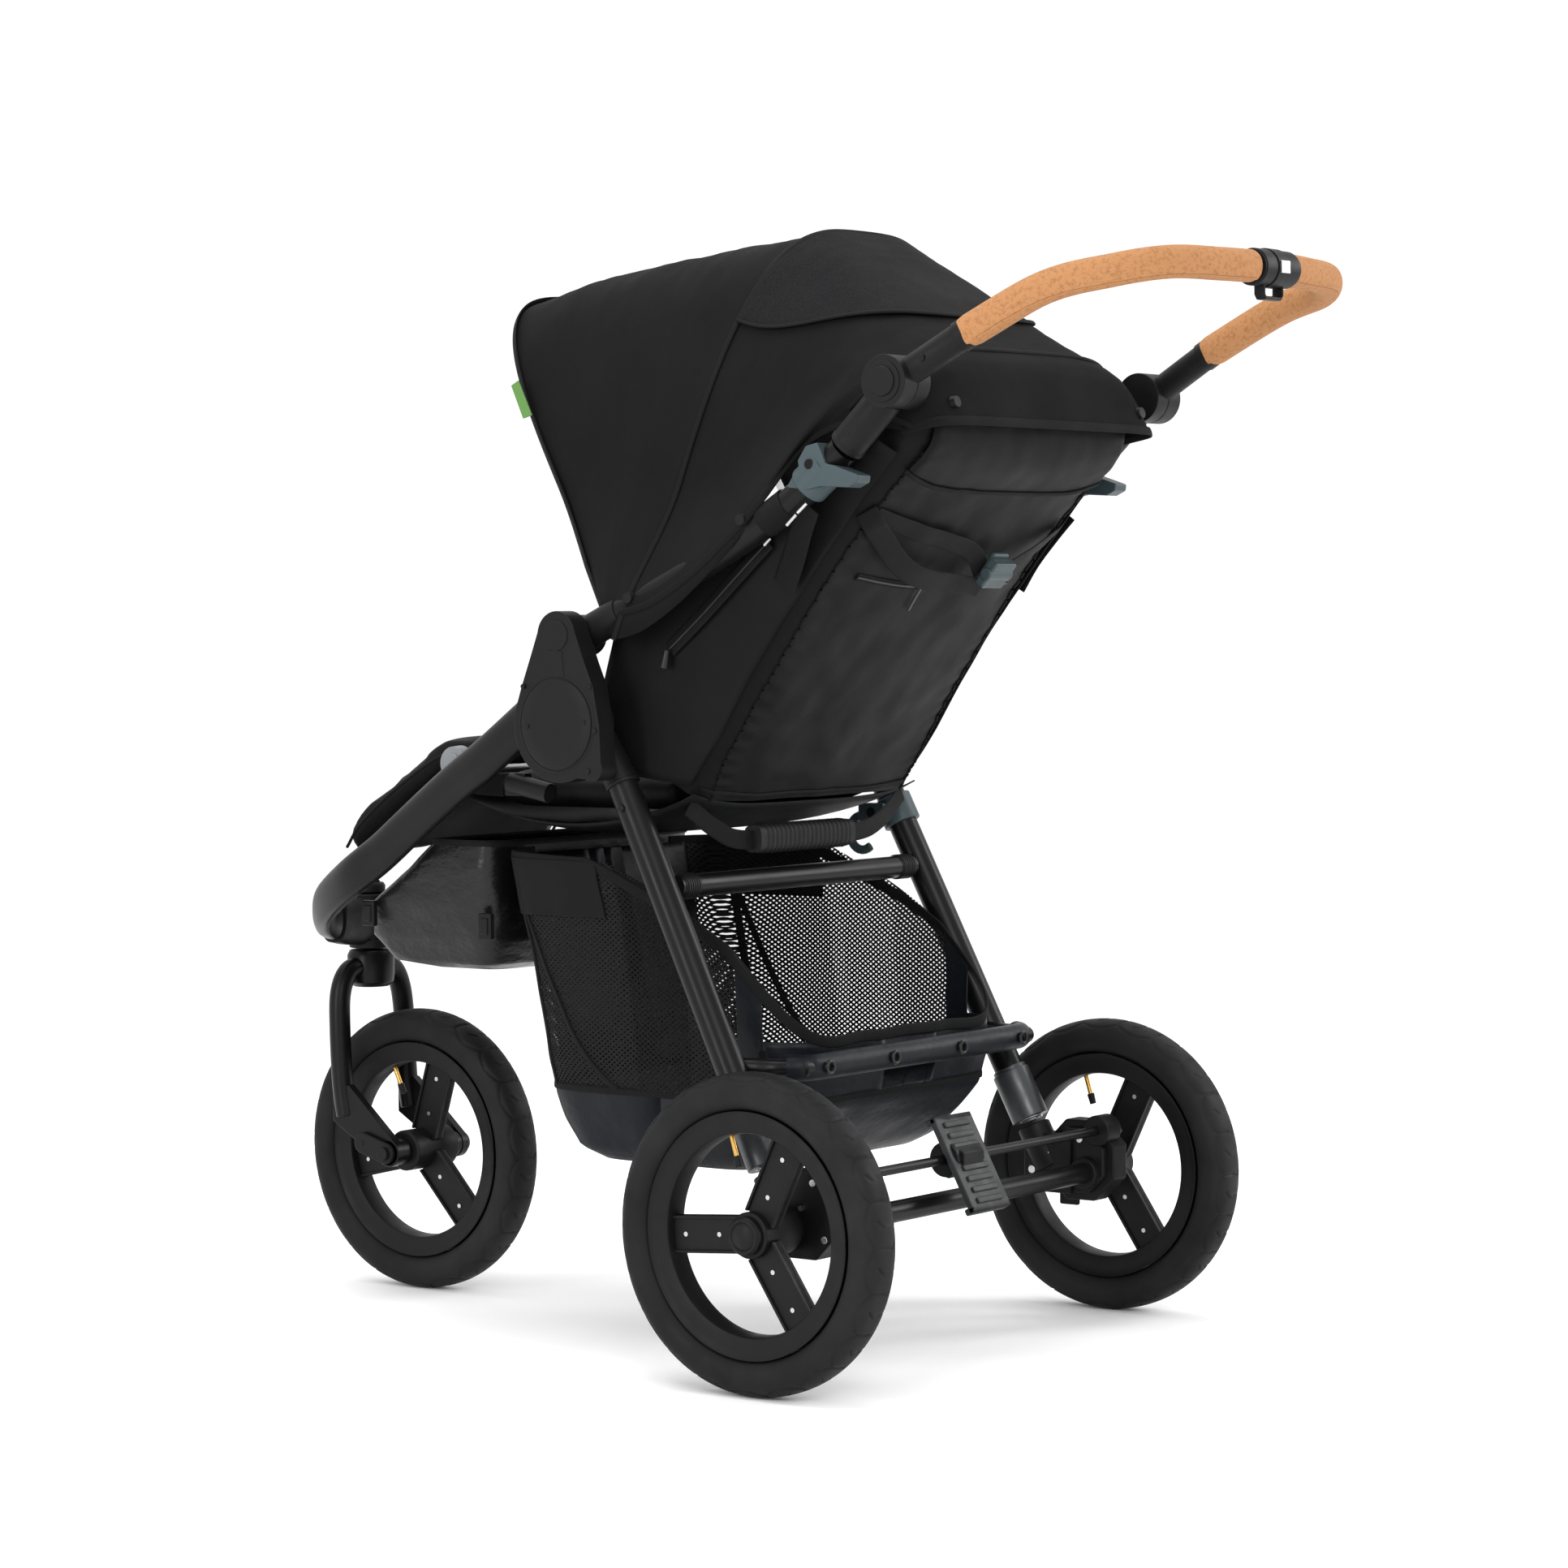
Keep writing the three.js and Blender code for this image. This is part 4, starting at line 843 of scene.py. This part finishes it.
snaps = Form()
for a_side in (1, -1):
    for u, a, lift in ((0.10, 0.008, 1.6), (2.75, 0.006, 1.6), (5.6, 0.30, 1.6)):
        p = arch_point(station_at(rear_stations, u), a, lift)
        p.x *= a_side
        face = Vector((0.0026 * a_side, 0, 0)) if u < 5 else Vector((0, 0.0026, 0.0006))
        snaps += bar(p - face, p + face, 7, 28, 5.6)
folds_flat(make("canopy_snaps", snaps, moulded, "upper_frame"))
green = cloth("tab_green", (0.10, 0.21, 0.06), 0.7, 700, 0.3)
tab = Form([at(200 + dx, y, z) for dx in (0, 1.6) for y, z in ((-402, 1003), (-386, 968), (-374, 971),
        (-392, 1008))],
           [(0, 1, 2, 3), (7, 6, 5, 4), (0, 4, 5, 1), (1, 5, 6, 2), (2, 6, 7, 3), (3, 7, 4, 0)])
folds_flat(make("canopy_tab", tab, green, "canopy_front", bevel=0.4))
for name, station, body in (("front_bow", front_stations[0], "canopy_front"), ("main_bow", rear_stations[0],
        "upper_frame")):
    inner = (*station[:4], station[4] - 5, station[5], 0)
    path = [arch_point(inner, 0.01 + 0.98 * i / 80, -6) for i in range(81)]
    way = Vector((0, 0.85, -0.5)) if name == "front_bow" else Vector((0, 0.9, -0.35))
    bow = tape(f"steel_{name}", path, 11, 1.6, body, way, zinc, 6)
    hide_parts(f"canopy_{name}")
    folds_flat(bow)

# Seat back. A padded panel in smooth black fabric with a pocket flap at the top, a zip, a puckered
# side seam and the recline strap with its slate clamp.
seat_cloth = cloth("seat_cloth", (0.004, 0.004, 0.0044), 0.56, 700, 0.18, specular=0.09)
seat_cloth.bump(seat_cloth.grain(6, 3, 0.5), 0.16, 0.008)
back_line = spline([at(0, y, z) for y, z in ((-172, 572), (-150, 612), (-122, 657), (-86, 708), (-42, 768),
        (12, 833), (62, 886), (104, 925), (122, 968))], 10)


def back_point(t, s, lift=0.0):
    k = t * (len(back_line) - 1)
    i = min(int(k), len(back_line) - 2)
    p = back_line[i].lerp(back_line[i + 1], k - i)
    forward = (back_line[min(i + 2, len(back_line) - 1)] - back_line[max(i - 1, 0)]).normalized()
    out = Vector((1, 0, 0)).cross(forward) * -1
    width = 188 - 10 * max(0, t - 0.6) - 5 * max(0, 0.15 - t) / 0.15
    crown = 15 * (1 - abs(s) ** 3.2) * math.sin(math.pi * min(1, max(0, 0.12 + 0.8 * t)))
    roundness = 16 * max(0, (abs(s) - 0.88) / 0.12) ** 2
    wrinkle = 2.6 * noise.noise(Vector((s * 2.2 + t * 3, t * 5.5 - s, 4.2))) + 1.2 * noise.noise(Vector((s * 6,
            t * 16, 1.0)))
    pucker = (0.7 + 0.5 * noise.noise(Vector((t * 9, s, 0)))) * math.sin(t * 150
            + 2 * noise.noise(Vector((t * 14, 0, 7)))) * max(0, 1 - abs(abs(s) - 0.86) / 0.10)
    fade = min(1, (1 - abs(s)) * 8 + 0.1)
    return p + (out * (crown - roundness + wrinkle * fade + pucker + lift) + Vector((width * s, 0, 0))) / 1000


rows, columns = 150, 120
outer = [[back_point(r / rows, -1 + 2 * c / columns) for c in range(columns + 1)] for r in range(rows + 1)]
inner = [[back_point(r / rows, -1 + 2 * c / columns, -22 - 6 * (1 - abs(-1 + 2 * c / columns) ** 4))
          for c in range(columns, -1, -1)] for r in range(rows + 1)]
seat_back = make("seat_back_panel", skin([o + i for o, i in zip(outer, inner)]), seat_cloth, "seat_back",
                 ["seat_back"], crease=70)


def on_back(name, points, width, thickness, lift, finish, steps=14, bulge=2.4):
    flat = spline([Vector((t, s, lift_here)) for t, s, lift_here in points], steps)
    path = [back_point(min(1, p.x), p.y, lift + p.z) for p in flat]
    made = tape(name, path, width, thickness, "seat_back",
                lambda i: (back_point(min(1, flat[i].x + 0.01), flat[i].y,
                                      0) - back_point(min(1, flat[i].x) - 0.01, flat[i].y,
                                                      0)).normalized(), finish, bulge)
    return made


pocket = skin([[back_point(0.775 + 0.20 * r / 16 + 0.03 * (2 * c / 60 - 1) ** 4 * (1 - r / 16),
                           0.93 - 1.86 * c / 60,
                           5.5 + 3 * math.sin(math.pi * r / 16) - 5
                           * (r / 16) ** 4) for c in range(61)] for r in range(17)], around=False, caps=False)
thicken(make("seat_pocket_flap", pocket, seat_cloth, "seat_back", crease=180), 1.6)
on_back("seat_pocket_hem", [(0.805, 0.94, 0), (0.778, 0.6, 0), (0.775, 0, 0), (0.778, -0.6, 0),
                            (0.805, -0.94, 0)], 5, 2.6, 6.4, binding)
on_back("seat_zip", [(0.57, 0.72, 0), (0.56, 0.2, 0), (0.56, -0.72, 0)], 9, 1.8, 0.8, binding)
zip_black = Finish("zip_teeth", (0.008, 0.008, 0.0085), 0.35, specular=0.3)
zip_black.feed("Roughness", zip_black.grain(300).ramp(0, 1, 0.3, 0.42))
on_back("seat_zip_teeth", [(0.57, 0.72, 0), (0.56, 0.2, 0), (0.56, -0.72, 0)], 2.2, 1.8, 1.9, zip_black)
on_back("seat_zip_puller", [(0.56, 0.14, 0), (0.515, 0.12, 0)], 4.5, 2, 3.2, zip_black)
for s_side, name in ((1, "left"), (-1, "right")):
    on_back(f"seat_piping_{name}", [(0.0, 0.9 * s_side, 0), (0.3, 0.9 * s_side, 0), (0.6, 0.9 * s_side, 0),
                                    (0.86, 0.9 * s_side, 0)], 3.4, 3.4, 0.6, binding, steps=60)
on_back("seat_bottom_hem", [(0.03, 0.97, 0), (0.02, 0.5, 0), (0.02, 0, 0), (0.02, -0.5, 0), (0.03, -0.97, 0)],
        5, 2.6, 1.0, binding)
webbing = cloth("webbing", (0.009, 0.009, 0.0095), 0.6, 1500, 0.8)
on_back("recline_strap", [(0.69, 0.95, 2), (0.655, 0.78, 6), (0.60, 0.42, 15), (0.575, -0.3, 16)], 24, 1.8, 2,
        webbing, bulge=5)
on_back("recline_strap_tail", [(0.60, -0.25, 12), (0.645, 0.0, 10), (0.67, 0.5, 5), (0.69, 0.9, 2)], 20, 1.6, 1,
        webbing, bulge=5)
on_back("recline_strap_far", [(0.60, -0.36, 14), (0.63, -0.6, 10), (0.675, -0.9, 3)], 20, 1.8, 2,
        webbing, bulge=5)
clamp_matrix = Matrix.Translation(back_point(0.61, -0.3, 24)) @ Matrix.Rotation(math.radians(-40), 4, "X")
lock_case = block(-19, 19, -7, 5, -16, 16) + block(-14, 14, -12, -6, -11, 20)
lock_case += bar(at(-21, 0, 0), at(21, 0, 0), 7, 28)
lock = Form([clamp_matrix @ (p - at(0, 0, 0)) for p in lock_case.points], lock_case.faces)
make("recline_clamp", lock, slate, "seat_back", bevel=2.4)

# Seat sides. Soft black panels that close the gap between the seat back, the canopy and the
# frame tube, with webbing, a metal D-ring and zips down their rear edges.
side_line = [(-176, 588), (-140, 634), (-104, 690), (-60, 750), (0, 822), (50, 880), (88, 918)]
front_line = [(-275, 602), (-286, 668), (-262, 748), (-190, 796), (-110, 842), (-30, 886), (62, 940)]
for side, name in ((1, "left"), (-1, "right")):
    rings = []
    for r in range(41):
        k = r / 40 * 6
        i, t = min(int(k), 5), k - min(int(k), 5)
        rear = Vector(side_line[i]).lerp(Vector(side_line[i + 1]), t)
        front = Vector(front_line[i]).lerp(Vector(front_line[i + 1]), t)
        ring = []
        for c in range(25):
            y, z = rear.lerp(front, c / 24)
            wave = 1.5 * noise.noise(Vector((y / 40, z / 40, 3 * side)))
            ring.append(at(side * (191 + wave + 3.5 * math.sin(math.pi * c / 24) + c / 2), y, z))
        rings.append(ring)
    panel = make(f"seat_side_{name}", skin(rings, around=False, caps=False), seat_cloth, None,
                 [f"seat_side_panel_{name}"], crease=180)
    thicken(panel, 1.4, 0)
    tuple(at(0, -262, 690))
    tuple(at(0, -160, 640))
    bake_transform(panel)
    loop = bar(at(side * 222, -52, 853), at(side * 222, -22, 871), 16.9, 40)
    make(f"tube_loop_{name}", loop, webbing, "upper_frame", bevel=0.8)
    strap = [at(side * x, y, z) for x, y, z in ((228, 6, 868), (219, -10, 846), (208, -28, 818),
            (203, -44, 790))]
    tape(f"side_strap_{name}", spline(strap, 10), 30, 2, "upper_frame", Vector((0, 0.8, -0.55)), seat_cloth, 5)
    glide = bar(at(side * 236, -15, 849), at(side * 236, -3, 859.5), 1.7, 12) + bar(at(side * 236, -1.5, 861),
            at(side * 235, 9, 870), 1.7, 12)
    make(f"strap_glide_{name}", glide, zinc, "upper_frame")
    zip_path = spline([at(side * x, y, z) for x, y, z in ((207, -60, 834), (207, -100, 800), (206, -145, 762),
            (204, -190, 727))], 12)
    tape(f"side_zip_{name}", zip_path, 17, 2.4, "upper_frame", Vector((0, 0.65, -0.75)), seat_cloth, 5)
    tape(f"side_zip_teeth_{name}", [p + Vector((side * 0.0016, 0, 0)) for p in zip_path], 2.6, 1.8,
         "upper_frame", Vector((0, 0.65, -0.75)), zip_black, 5)
    pull = bar(at(side * 209, -190, 726), at(side * 210, -193, 708), 3, 12, 4.4)
    make(f"zip_puller_{name}", pull, zip_black, "upper_frame")
    stop = bar(at(side * 209, -64, 831), at(side * 209, -56, 838), 2.4, 12)
    make(f"zip_stop_{name}", stop, zinc, "upper_frame")

# Seat cushion and legrest. Closed quilted pads, each blown up a little as cloth from a slightly
# smaller form, so that its faces crown and its sides pull in between the corners.
def inflated(name, form, finish, body, node, pressure, most):
    mesh = bpy.data.meshes.new(name + "_slack")
    mesh.from_pydata(form.points, [], form.faces)
    slack = bpy.data.objects.new(name + "_slack", mesh)
    bpy.context.scene.collection.objects.link(slack)
    grid = slack.modifiers.new("grid", "REMESH")
    grid.mode = "VOXEL"
    grid.voxel_size = 0.006
    bpy.context.view_layer.update()
    finished = bpy.data.meshes.new_from_object(slack.evaluated_get(bpy.context.evaluated_depsgraph_get()))
    slack.modifiers.clear()
    slack.data = finished
    rest = [v.co.copy() for v in finished.vertices]
    cloth_sim = slack.modifiers.new("cloth", "CLOTH")
    cloth_sim.settings.use_pressure = True
    cloth_sim.settings.uniform_pressure_force = pressure
    cloth_sim.settings.tension_stiffness = 12
    cloth_sim.settings.effector_weights.gravity = 0
    for frame_number in range(1, 17):
        bpy.context.scene.frame_set(frame_number)
    blown = bpy.data.meshes.new_from_object(slack.evaluated_get(bpy.context.evaluated_depsgraph_get()))
    rest = [a + (b.co - a).normalized() * min(most / 1000, (b.co - a).length)
            for a, b in zip(rest, blown.vertices)]
    bpy.context.scene.frame_set(1)
    bpy.data.objects.remove(slack)
    faces = [tuple(p.vertices) for p in finished.polygons]
    made = make(name, Form(rest, faces), finish, body, [node], crease=180)
    rounder = made.modifiers.new("rounder", "SUBSURF")
    rounder.levels = rounder.render_levels = 1
    return made


sling_rings = []
for i in range(21):
    t = i / 20
    y, z = -500 + 330 * t, 566 - 34 * math.sin(math.pi * t) ** 0.8
    sling_rings.append([at(-193 + 386 * c / 24, y, z + 14 * abs(2 * c / 24 - 1) ** 4) for c in range(25)])
sling = make("seat_sling", skin(sling_rings, around=False, caps=False), seat_cloth, "main_frame",
             crease=180)
thicken(sling, 1.6)


def pad_rings(path, normals, half_width, half_thickness, exponent=5, count=48):
    rings = []
    for p, out in zip(path, normals):
        rings.append([p + Vector((u, 0, 0)) + out * v for u, v in superellipse(half_width / 1000,
                half_thickness / 1000, exponent, count)])
    return skin(rings)


cushion_path = [at(0, y, 580) for y in (-452, -444, -400, -340, -280, -215, -206)]
cushion = pad_rings(cushion_path, [Vector((0, 0, 1))] * 7, 180, 15)
inflated("seat_cushion_pad", cushion, seat_cloth, "main_frame", "seat_cushion", 4, 6)
rest_path = spline([at(0, y, z) for y, z in ((-490, 606), (-528, 602), (-590, 568), (-645, 528), (-668, 500))],
                   6)
rest_normals = [Vector((0, -0.5, 0.86))] * len(rest_path)
rest_form = pad_rings([p + Vector((0, -0.005, 0.011)) for p in rest_path], rest_normals, 168, 15)
inflated("legrest_cushion", rest_form, seat_cloth, "legrest", "legrest_pad", 4, 6)
make("legrest_axle", bar(at(-197, -490, 598), at(197, -490, 598), 5, 24), zinc, "legrest",
     ["legrest_rod"])
button_grey = Finish("button_grey", (0.16, 0.17, 0.18), 0.4)
button_grey.feed("Roughness", button_grey.grain(60).ramp(0, 1, 0.34, 0.46))
rest_buttons = bar(at(180, -496, 606), at(195, -496, 606), 19, 40, 18)
rest_buttons += bar(at(195, -496, 606), at(197, -496, 606), 11, 32)
make("legrest_buttons", rest_buttons + rest_buttons.mirrored(), button_grey, "legrest", bevel=1)
for side, name in ((1, "left"), (-1, "right")):
    edge = [p + Vector((side * 0.172, -0.005, 0.011)) for p in rest_path]
    tape(f"legrest_piping_{name}", edge, 3.4, 3.4, "legrest", Vector((1, 0, 0)), binding, 2)


# Footwell. A foot tub in shiny coated fabric hanging under the legrest, creased where it is
# pulled to its side-release buckles.
def tub(levels, inset, bulge, seed, exponent=7, count=120, rows=9):
    rings = []
    for i in range(len(levels) - 1):
        for r in range(rows if i < len(levels) - 2 else rows + 1):
            t = r / rows
            z, y0, y1, w = [a + (b - a) * t for a, b in zip(levels[i], levels[i + 1])]
            ring = []
            for u, v in superellipse((w - inset) / 1000, ((y1 - y0) / 2 - inset) / 1000, exponent, count):
                crease = bulge * noise.noise(Vector((u * 11 + seed, v * 11,
                        z / 55))) + 0.4 * bulge * noise.noise(Vector((u * 30, v * 30 + seed, z / 18)))
                p = at(0, (y0 + y1) / 2, z) + Vector((u, v, 0))
                ring.append(p + Vector((u, v, 0)).normalized() * crease / 1000)
            rings.append(ring)
    return rings


vinyl = Finish("footwell_vinyl", (0.003, 0.003, 0.0034), 0.24, specular=0.3)
vinyl.feed("Roughness", vinyl.grain(12, 4).ramp(0.3, 0.7, 0.28, 0.44))
vinyl.bump(vinyl.grain(16, 4, 0.6, (1, 1, 1.6)), 0.55, 0.008)
vinyl.bump(vinyl.grain(1200, 2), 0.03, 0.0003)
foot_levels = [(380, -600, -500, 120), (388, -640, -480, 150), (415, -668, -466, 160), (450, -664, -462, 168),
               (490, -600, -460, 172), (520, -560, -460, 172)]
foot_outer = tub(foot_levels, 0, 3.2, 1.0)
foot_inner = tub(foot_levels, 3, 3.2, 1.0)[6:]
make("footwell_tub", skin(foot_outer + foot_inner[::-1]), vinyl, "main_frame",
     ["footwell"], crease=70)
foot_rim = foot_outer[-1][:120]
make("footwell_binding", swept(foot_rim, superellipse(0.002, 0.0035, 2.5, 10), closed=True), binding,
     "main_frame")
for x, y, z in ((171, -470, 432), (170, -640, 440)):
    buckle = block(x - 1, x + 6, y - 9, y + 9, z - 14, z + 14) + block(x + 5, x + 8, y - 5, y + 5, z - 9, z + 9)
    make(f"foot_buckle_{abs(y)}", buckle + buckle.mirrored(), moulded, "main_frame", bevel=2)

# Basket. A sagging fabric tub hung from the frame and from the bar between the rear legs, with a
# coated lower band and rear, mesh sides and taped edges; its rear top is open.
basket_levels = [
    (192, -345, -130, 155), (204, -372, -106, 168), (232, -389, -76, 177), (260, -402, -50, 184),
    (296, -409, -38.5, 190),
    (320, -413, -38.5, 190), (360, -422, -38, 191), (420, -434, -38, 191), (470, -445, -38, 191),
    (508, -453, -38, 191),
]
mouth = [(-37, 323), (-74, 362), (-130, 422), (-210, 472), (-286, 506), (-460, 512)]


def mouth_height(y):
    if y > mouth[0][0]:
        return mouth[0][1]
    for (y0, z0), (y1, z1) in zip(mouth, mouth[1:]):
        if y1 <= y <= y0:
            return z0 + (z1 - z0) * (y0 - y) / (y0 - y1)
    return mouth[-1][1]


def tub_point(angle, z, inset=0.0):
    i = max(k for k in range(len(basket_levels) - 1) if basket_levels[k][0] <= z or k == 0)
    t = (z - basket_levels[i][0]) / (basket_levels[i + 1][0] - basket_levels[i][0])
    _, y0, y1, w = [a + (b - a) * t for a, b in zip(basket_levels[i], basket_levels[i + 1])]
    u, v = (w - inset) * power(math.cos(angle), 2 / 7), ((y1 - y0) / 2 - inset) * power(math.sin(angle), 2 / 7)
    sag = 3.5 * noise.noise(Vector((u / 60, v / 60, z / 60))) - 5 * math.sin(math.pi * min(1,
            max(0, (z - 200) / 300)))
    out = Vector((u, v, 0)).normalized()
    return at(u, (y0 + y1) / 2 + v, z) + out * sag / 1000


def tub_angles(start, end, steps):
    dense = [start + (end - start) * i / 600 for i in range(601)]
    points = [tub_point(a, 300) for a in dense]
    travelled = [0.0]
    for a, b in zip(points, points[1:]):
        travelled.append(travelled[-1] + (b - a).length)
    wanted, k = [], 0
    for i in range(steps + 1):
        while k < 600 and travelled[k] < travelled[-1] * i / steps - 1e-9:
            k += 1
        wanted.append(dense[k])
    return wanted


def tub_wall(start, end, low, high, steps, rows, inset=0.0):
    angles = tub_angles(start, end, steps)
    rings = []
    for r in range(rows + 1):
        ring = []
        for a in angles:
            top = min(high, mouth_height((tub_point(a, min(high, 508)).y * 1000) - axle_behind))
            ring.append(tub_point(a, low + (top - low) * r / rows, inset))
        rings.append(ring)
    return skin(rings, around=False, caps=False)


basket_ends = (tuple(at(0, -400, 300)), tuple(at(0, -30, 300)))


def hangs(made):
    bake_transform(made)
    return made


coated = Finish("basket_coated", (0.0035, 0.0042, 0.0068), 0.36, specular=0.16)
coated.feed("Roughness", coated.grain(10, 4).ramp(0.3, 0.7, 0.36, 0.52))
coated.bump(coated.grain(13, 4, 0.55), 0.5, 0.008)
coated.bump(coated.grain(1300, 2), 0.12, 0.0003)
mesh_cloth = Finish("basket_mesh", (0.006, 0.006, 0.0065), 0.7, specular=0.14)
diagonals = mesh_cloth.stripes(82, (0, 0.955, -0.524)).ramp(0.26, 0.42) * mesh_cloth.stripes(82,
        (0, -0.955, -0.524)).ramp(0.26, 0.42)
mesh_cloth.feed("Alpha", diagonals.ramp(0.2, 0.8, 1.0, 0.1))
mesh_cloth.bump(diagonals, -0.5, 0.0005)
band_height = 268
floor_rings = [[at(0, -236, 190) + (tub_point(a, 192) - at(0, -236, 190)) * k
                for a in tub_angles(0, 2 * math.pi, 160)[:-1]] for k in (0.02, 0.35, 0.7, 1.0)]
floor_form = skin(floor_rings, caps=False) + Form(floor_rings[0], [tuple(range(160))])
lower = tub_wall(0, 2 * math.pi, 192, band_height, 220, 16)
hangs(thicken(make("basket_lower_band", lower + floor_form, coated, None, ["basket"], crease=80,
                   weld=True), 1.6))
hangs(thicken(make("basket_rear_panel", tub_wall(0.34, math.pi - 0.34, band_height, 330, 90, 10), coated, None,
                   crease=180), 1.6))
for name, start, end, low, high, gap, cloth_finish, deep in (
    ("mesh_left", -1.25, 0.14, band_height, 508, 0, mesh_cloth, 0.8),
    ("mesh_right", math.pi - 0.14, math.pi + 1.25, band_height, 508, 0, mesh_cloth, 0.8),
    ("front", math.pi + 1.25, 2 * math.pi - 1.25, band_height, 508, 0, coated, 1.4),
    ("gusset_left", 0.14, 0.34, band_height, 508, 0, coated, 1.4),
    ("gusset_right", math.pi - 0.34, math.pi - 0.14, band_height, 508, 0, coated, 1.4),
    ("flap_left", -1.25, -0.01, 448, 508, -1.6, seat_cloth, 1.2),
    ("flap_right", math.pi + 0.01, math.pi + 1.25, 448, 508, -1.6, seat_cloth, 1.2),
):
    walls = make(f"basket_{name}", tub_wall(start, end, low, high, 80, 30, gap), cloth_finish, None,
                 crease=180)
    hangs(thicken(walls, deep))


def basket_tape(name, points, width, finish=None):
    path = [tub_point(a, z) for a, z in points]
    outward = [(p - Vector((0, -0.005, p.z))).normalized() for p in path]
    ways = [(path[min(i + 1, len(path) - 1)] - path[max(i - 1, 0)]).cross(outward[i]).normalized()
            for i in range(len(path))]
    return hangs(tape(name, path, width, 3, None, lambda i: ways[i], finish, 4))


ring_angles = tub_angles(0, 2 * math.pi, 240)
basket_tape("basket_band_tape", [(a, band_height) for a in ring_angles], 7)
top_angles = tub_angles(-1.4, math.pi + 1.4, 200)
basket_tape("basket_mouth_tape", [(a, mouth_height(tub_point(a, 320).y * 1000 - axle_behind) - 1)
                                  for a in top_angles], 12)
for side, name in ((1, "left"), (-1, "right")):
    mirror_angle = (lambda a: a) if side > 0 else (lambda a: math.pi - a)
    basket_tape(f"basket_post_{name}", [(mirror_angle(0.34), 268 + 2.5 * i) for i in range(22)], 9)
    basket_tape(f"basket_front_post_{name}", [(mirror_angle(-0.62), 268 + 8 * i) for i in range(29)], 9)
    basket_tape(f"basket_brace_{name}", [(mirror_angle(-0.62 + 0.60 * i / 40), 470 - 5 * i) for i in range(41)],
                7)
sleeve_section = superellipse(0.0115, 0.0135, 2, 24)
sleeve_path = spline([at(x, y, 308) for x, y in ((205, -46), (193, -33), (165, -28), (60, -28), (-60, -28),
        (-165, -28), (-193, -33), (-205, -46))], 12)
hangs(make("basket_bar_sleeve", swept(sleeve_path, sleeve_section), coated, None))
eyelets = Form()
for x in (172, 60, -60, -172):
    circle = [at(x + 6 * math.cos(a), -14.5, 308 + 6 * math.sin(a)) for a in [2 * math.pi * i / 32
            for i in range(32)]]
    eyelets += swept(circle, superellipse(0.0018, 0.0018, 2, 10), Vector((0, 1, 0)), closed=True)
hangs(make("basket_eyelets", eyelets, zip_black, None))

# Carrying grip. A ribbed soft sleeve on a webbing strap that hangs below the seat between the
# two side hubs.
grip_rubber = Finish("grip_rubber", (0.010, 0.010, 0.011), 0.6, specular=0.18)
grip_rubber.feed("Roughness", grip_rubber.grain(80, 3).ramp(0.3, 0.7, 0.52, 0.68))
ribs = []
for i in range(165):
    x = -70 + i
    pinch = 0.93 + 0.07 * math.cos(2 * math.pi * i / 7.5) if 8 < i < 156 else 0.9
    ribs.append([at(x, -171, 529) + Vector((0, u * pinch, v * pinch)) for u, v in superellipse(0.0128,
            0.0155, 3.2, 32)])
make("carry_sleeve", skin(ribs), grip_rubber, "main_frame", ["carry_grip"], crease=50)
carry = [at(x, y, z) for x, y, z in ((-186, -182, 566), (-140, -176, 540), (-90, -171, 529), (0, -171, 529),
                                     (110, -171, 529), (150, -176, 542), (186, -182, 566))]
tape("carry_strap", spline(carry, 12), 20, 2, "main_frame", Vector((0, 0, 1)), webbing, 5)
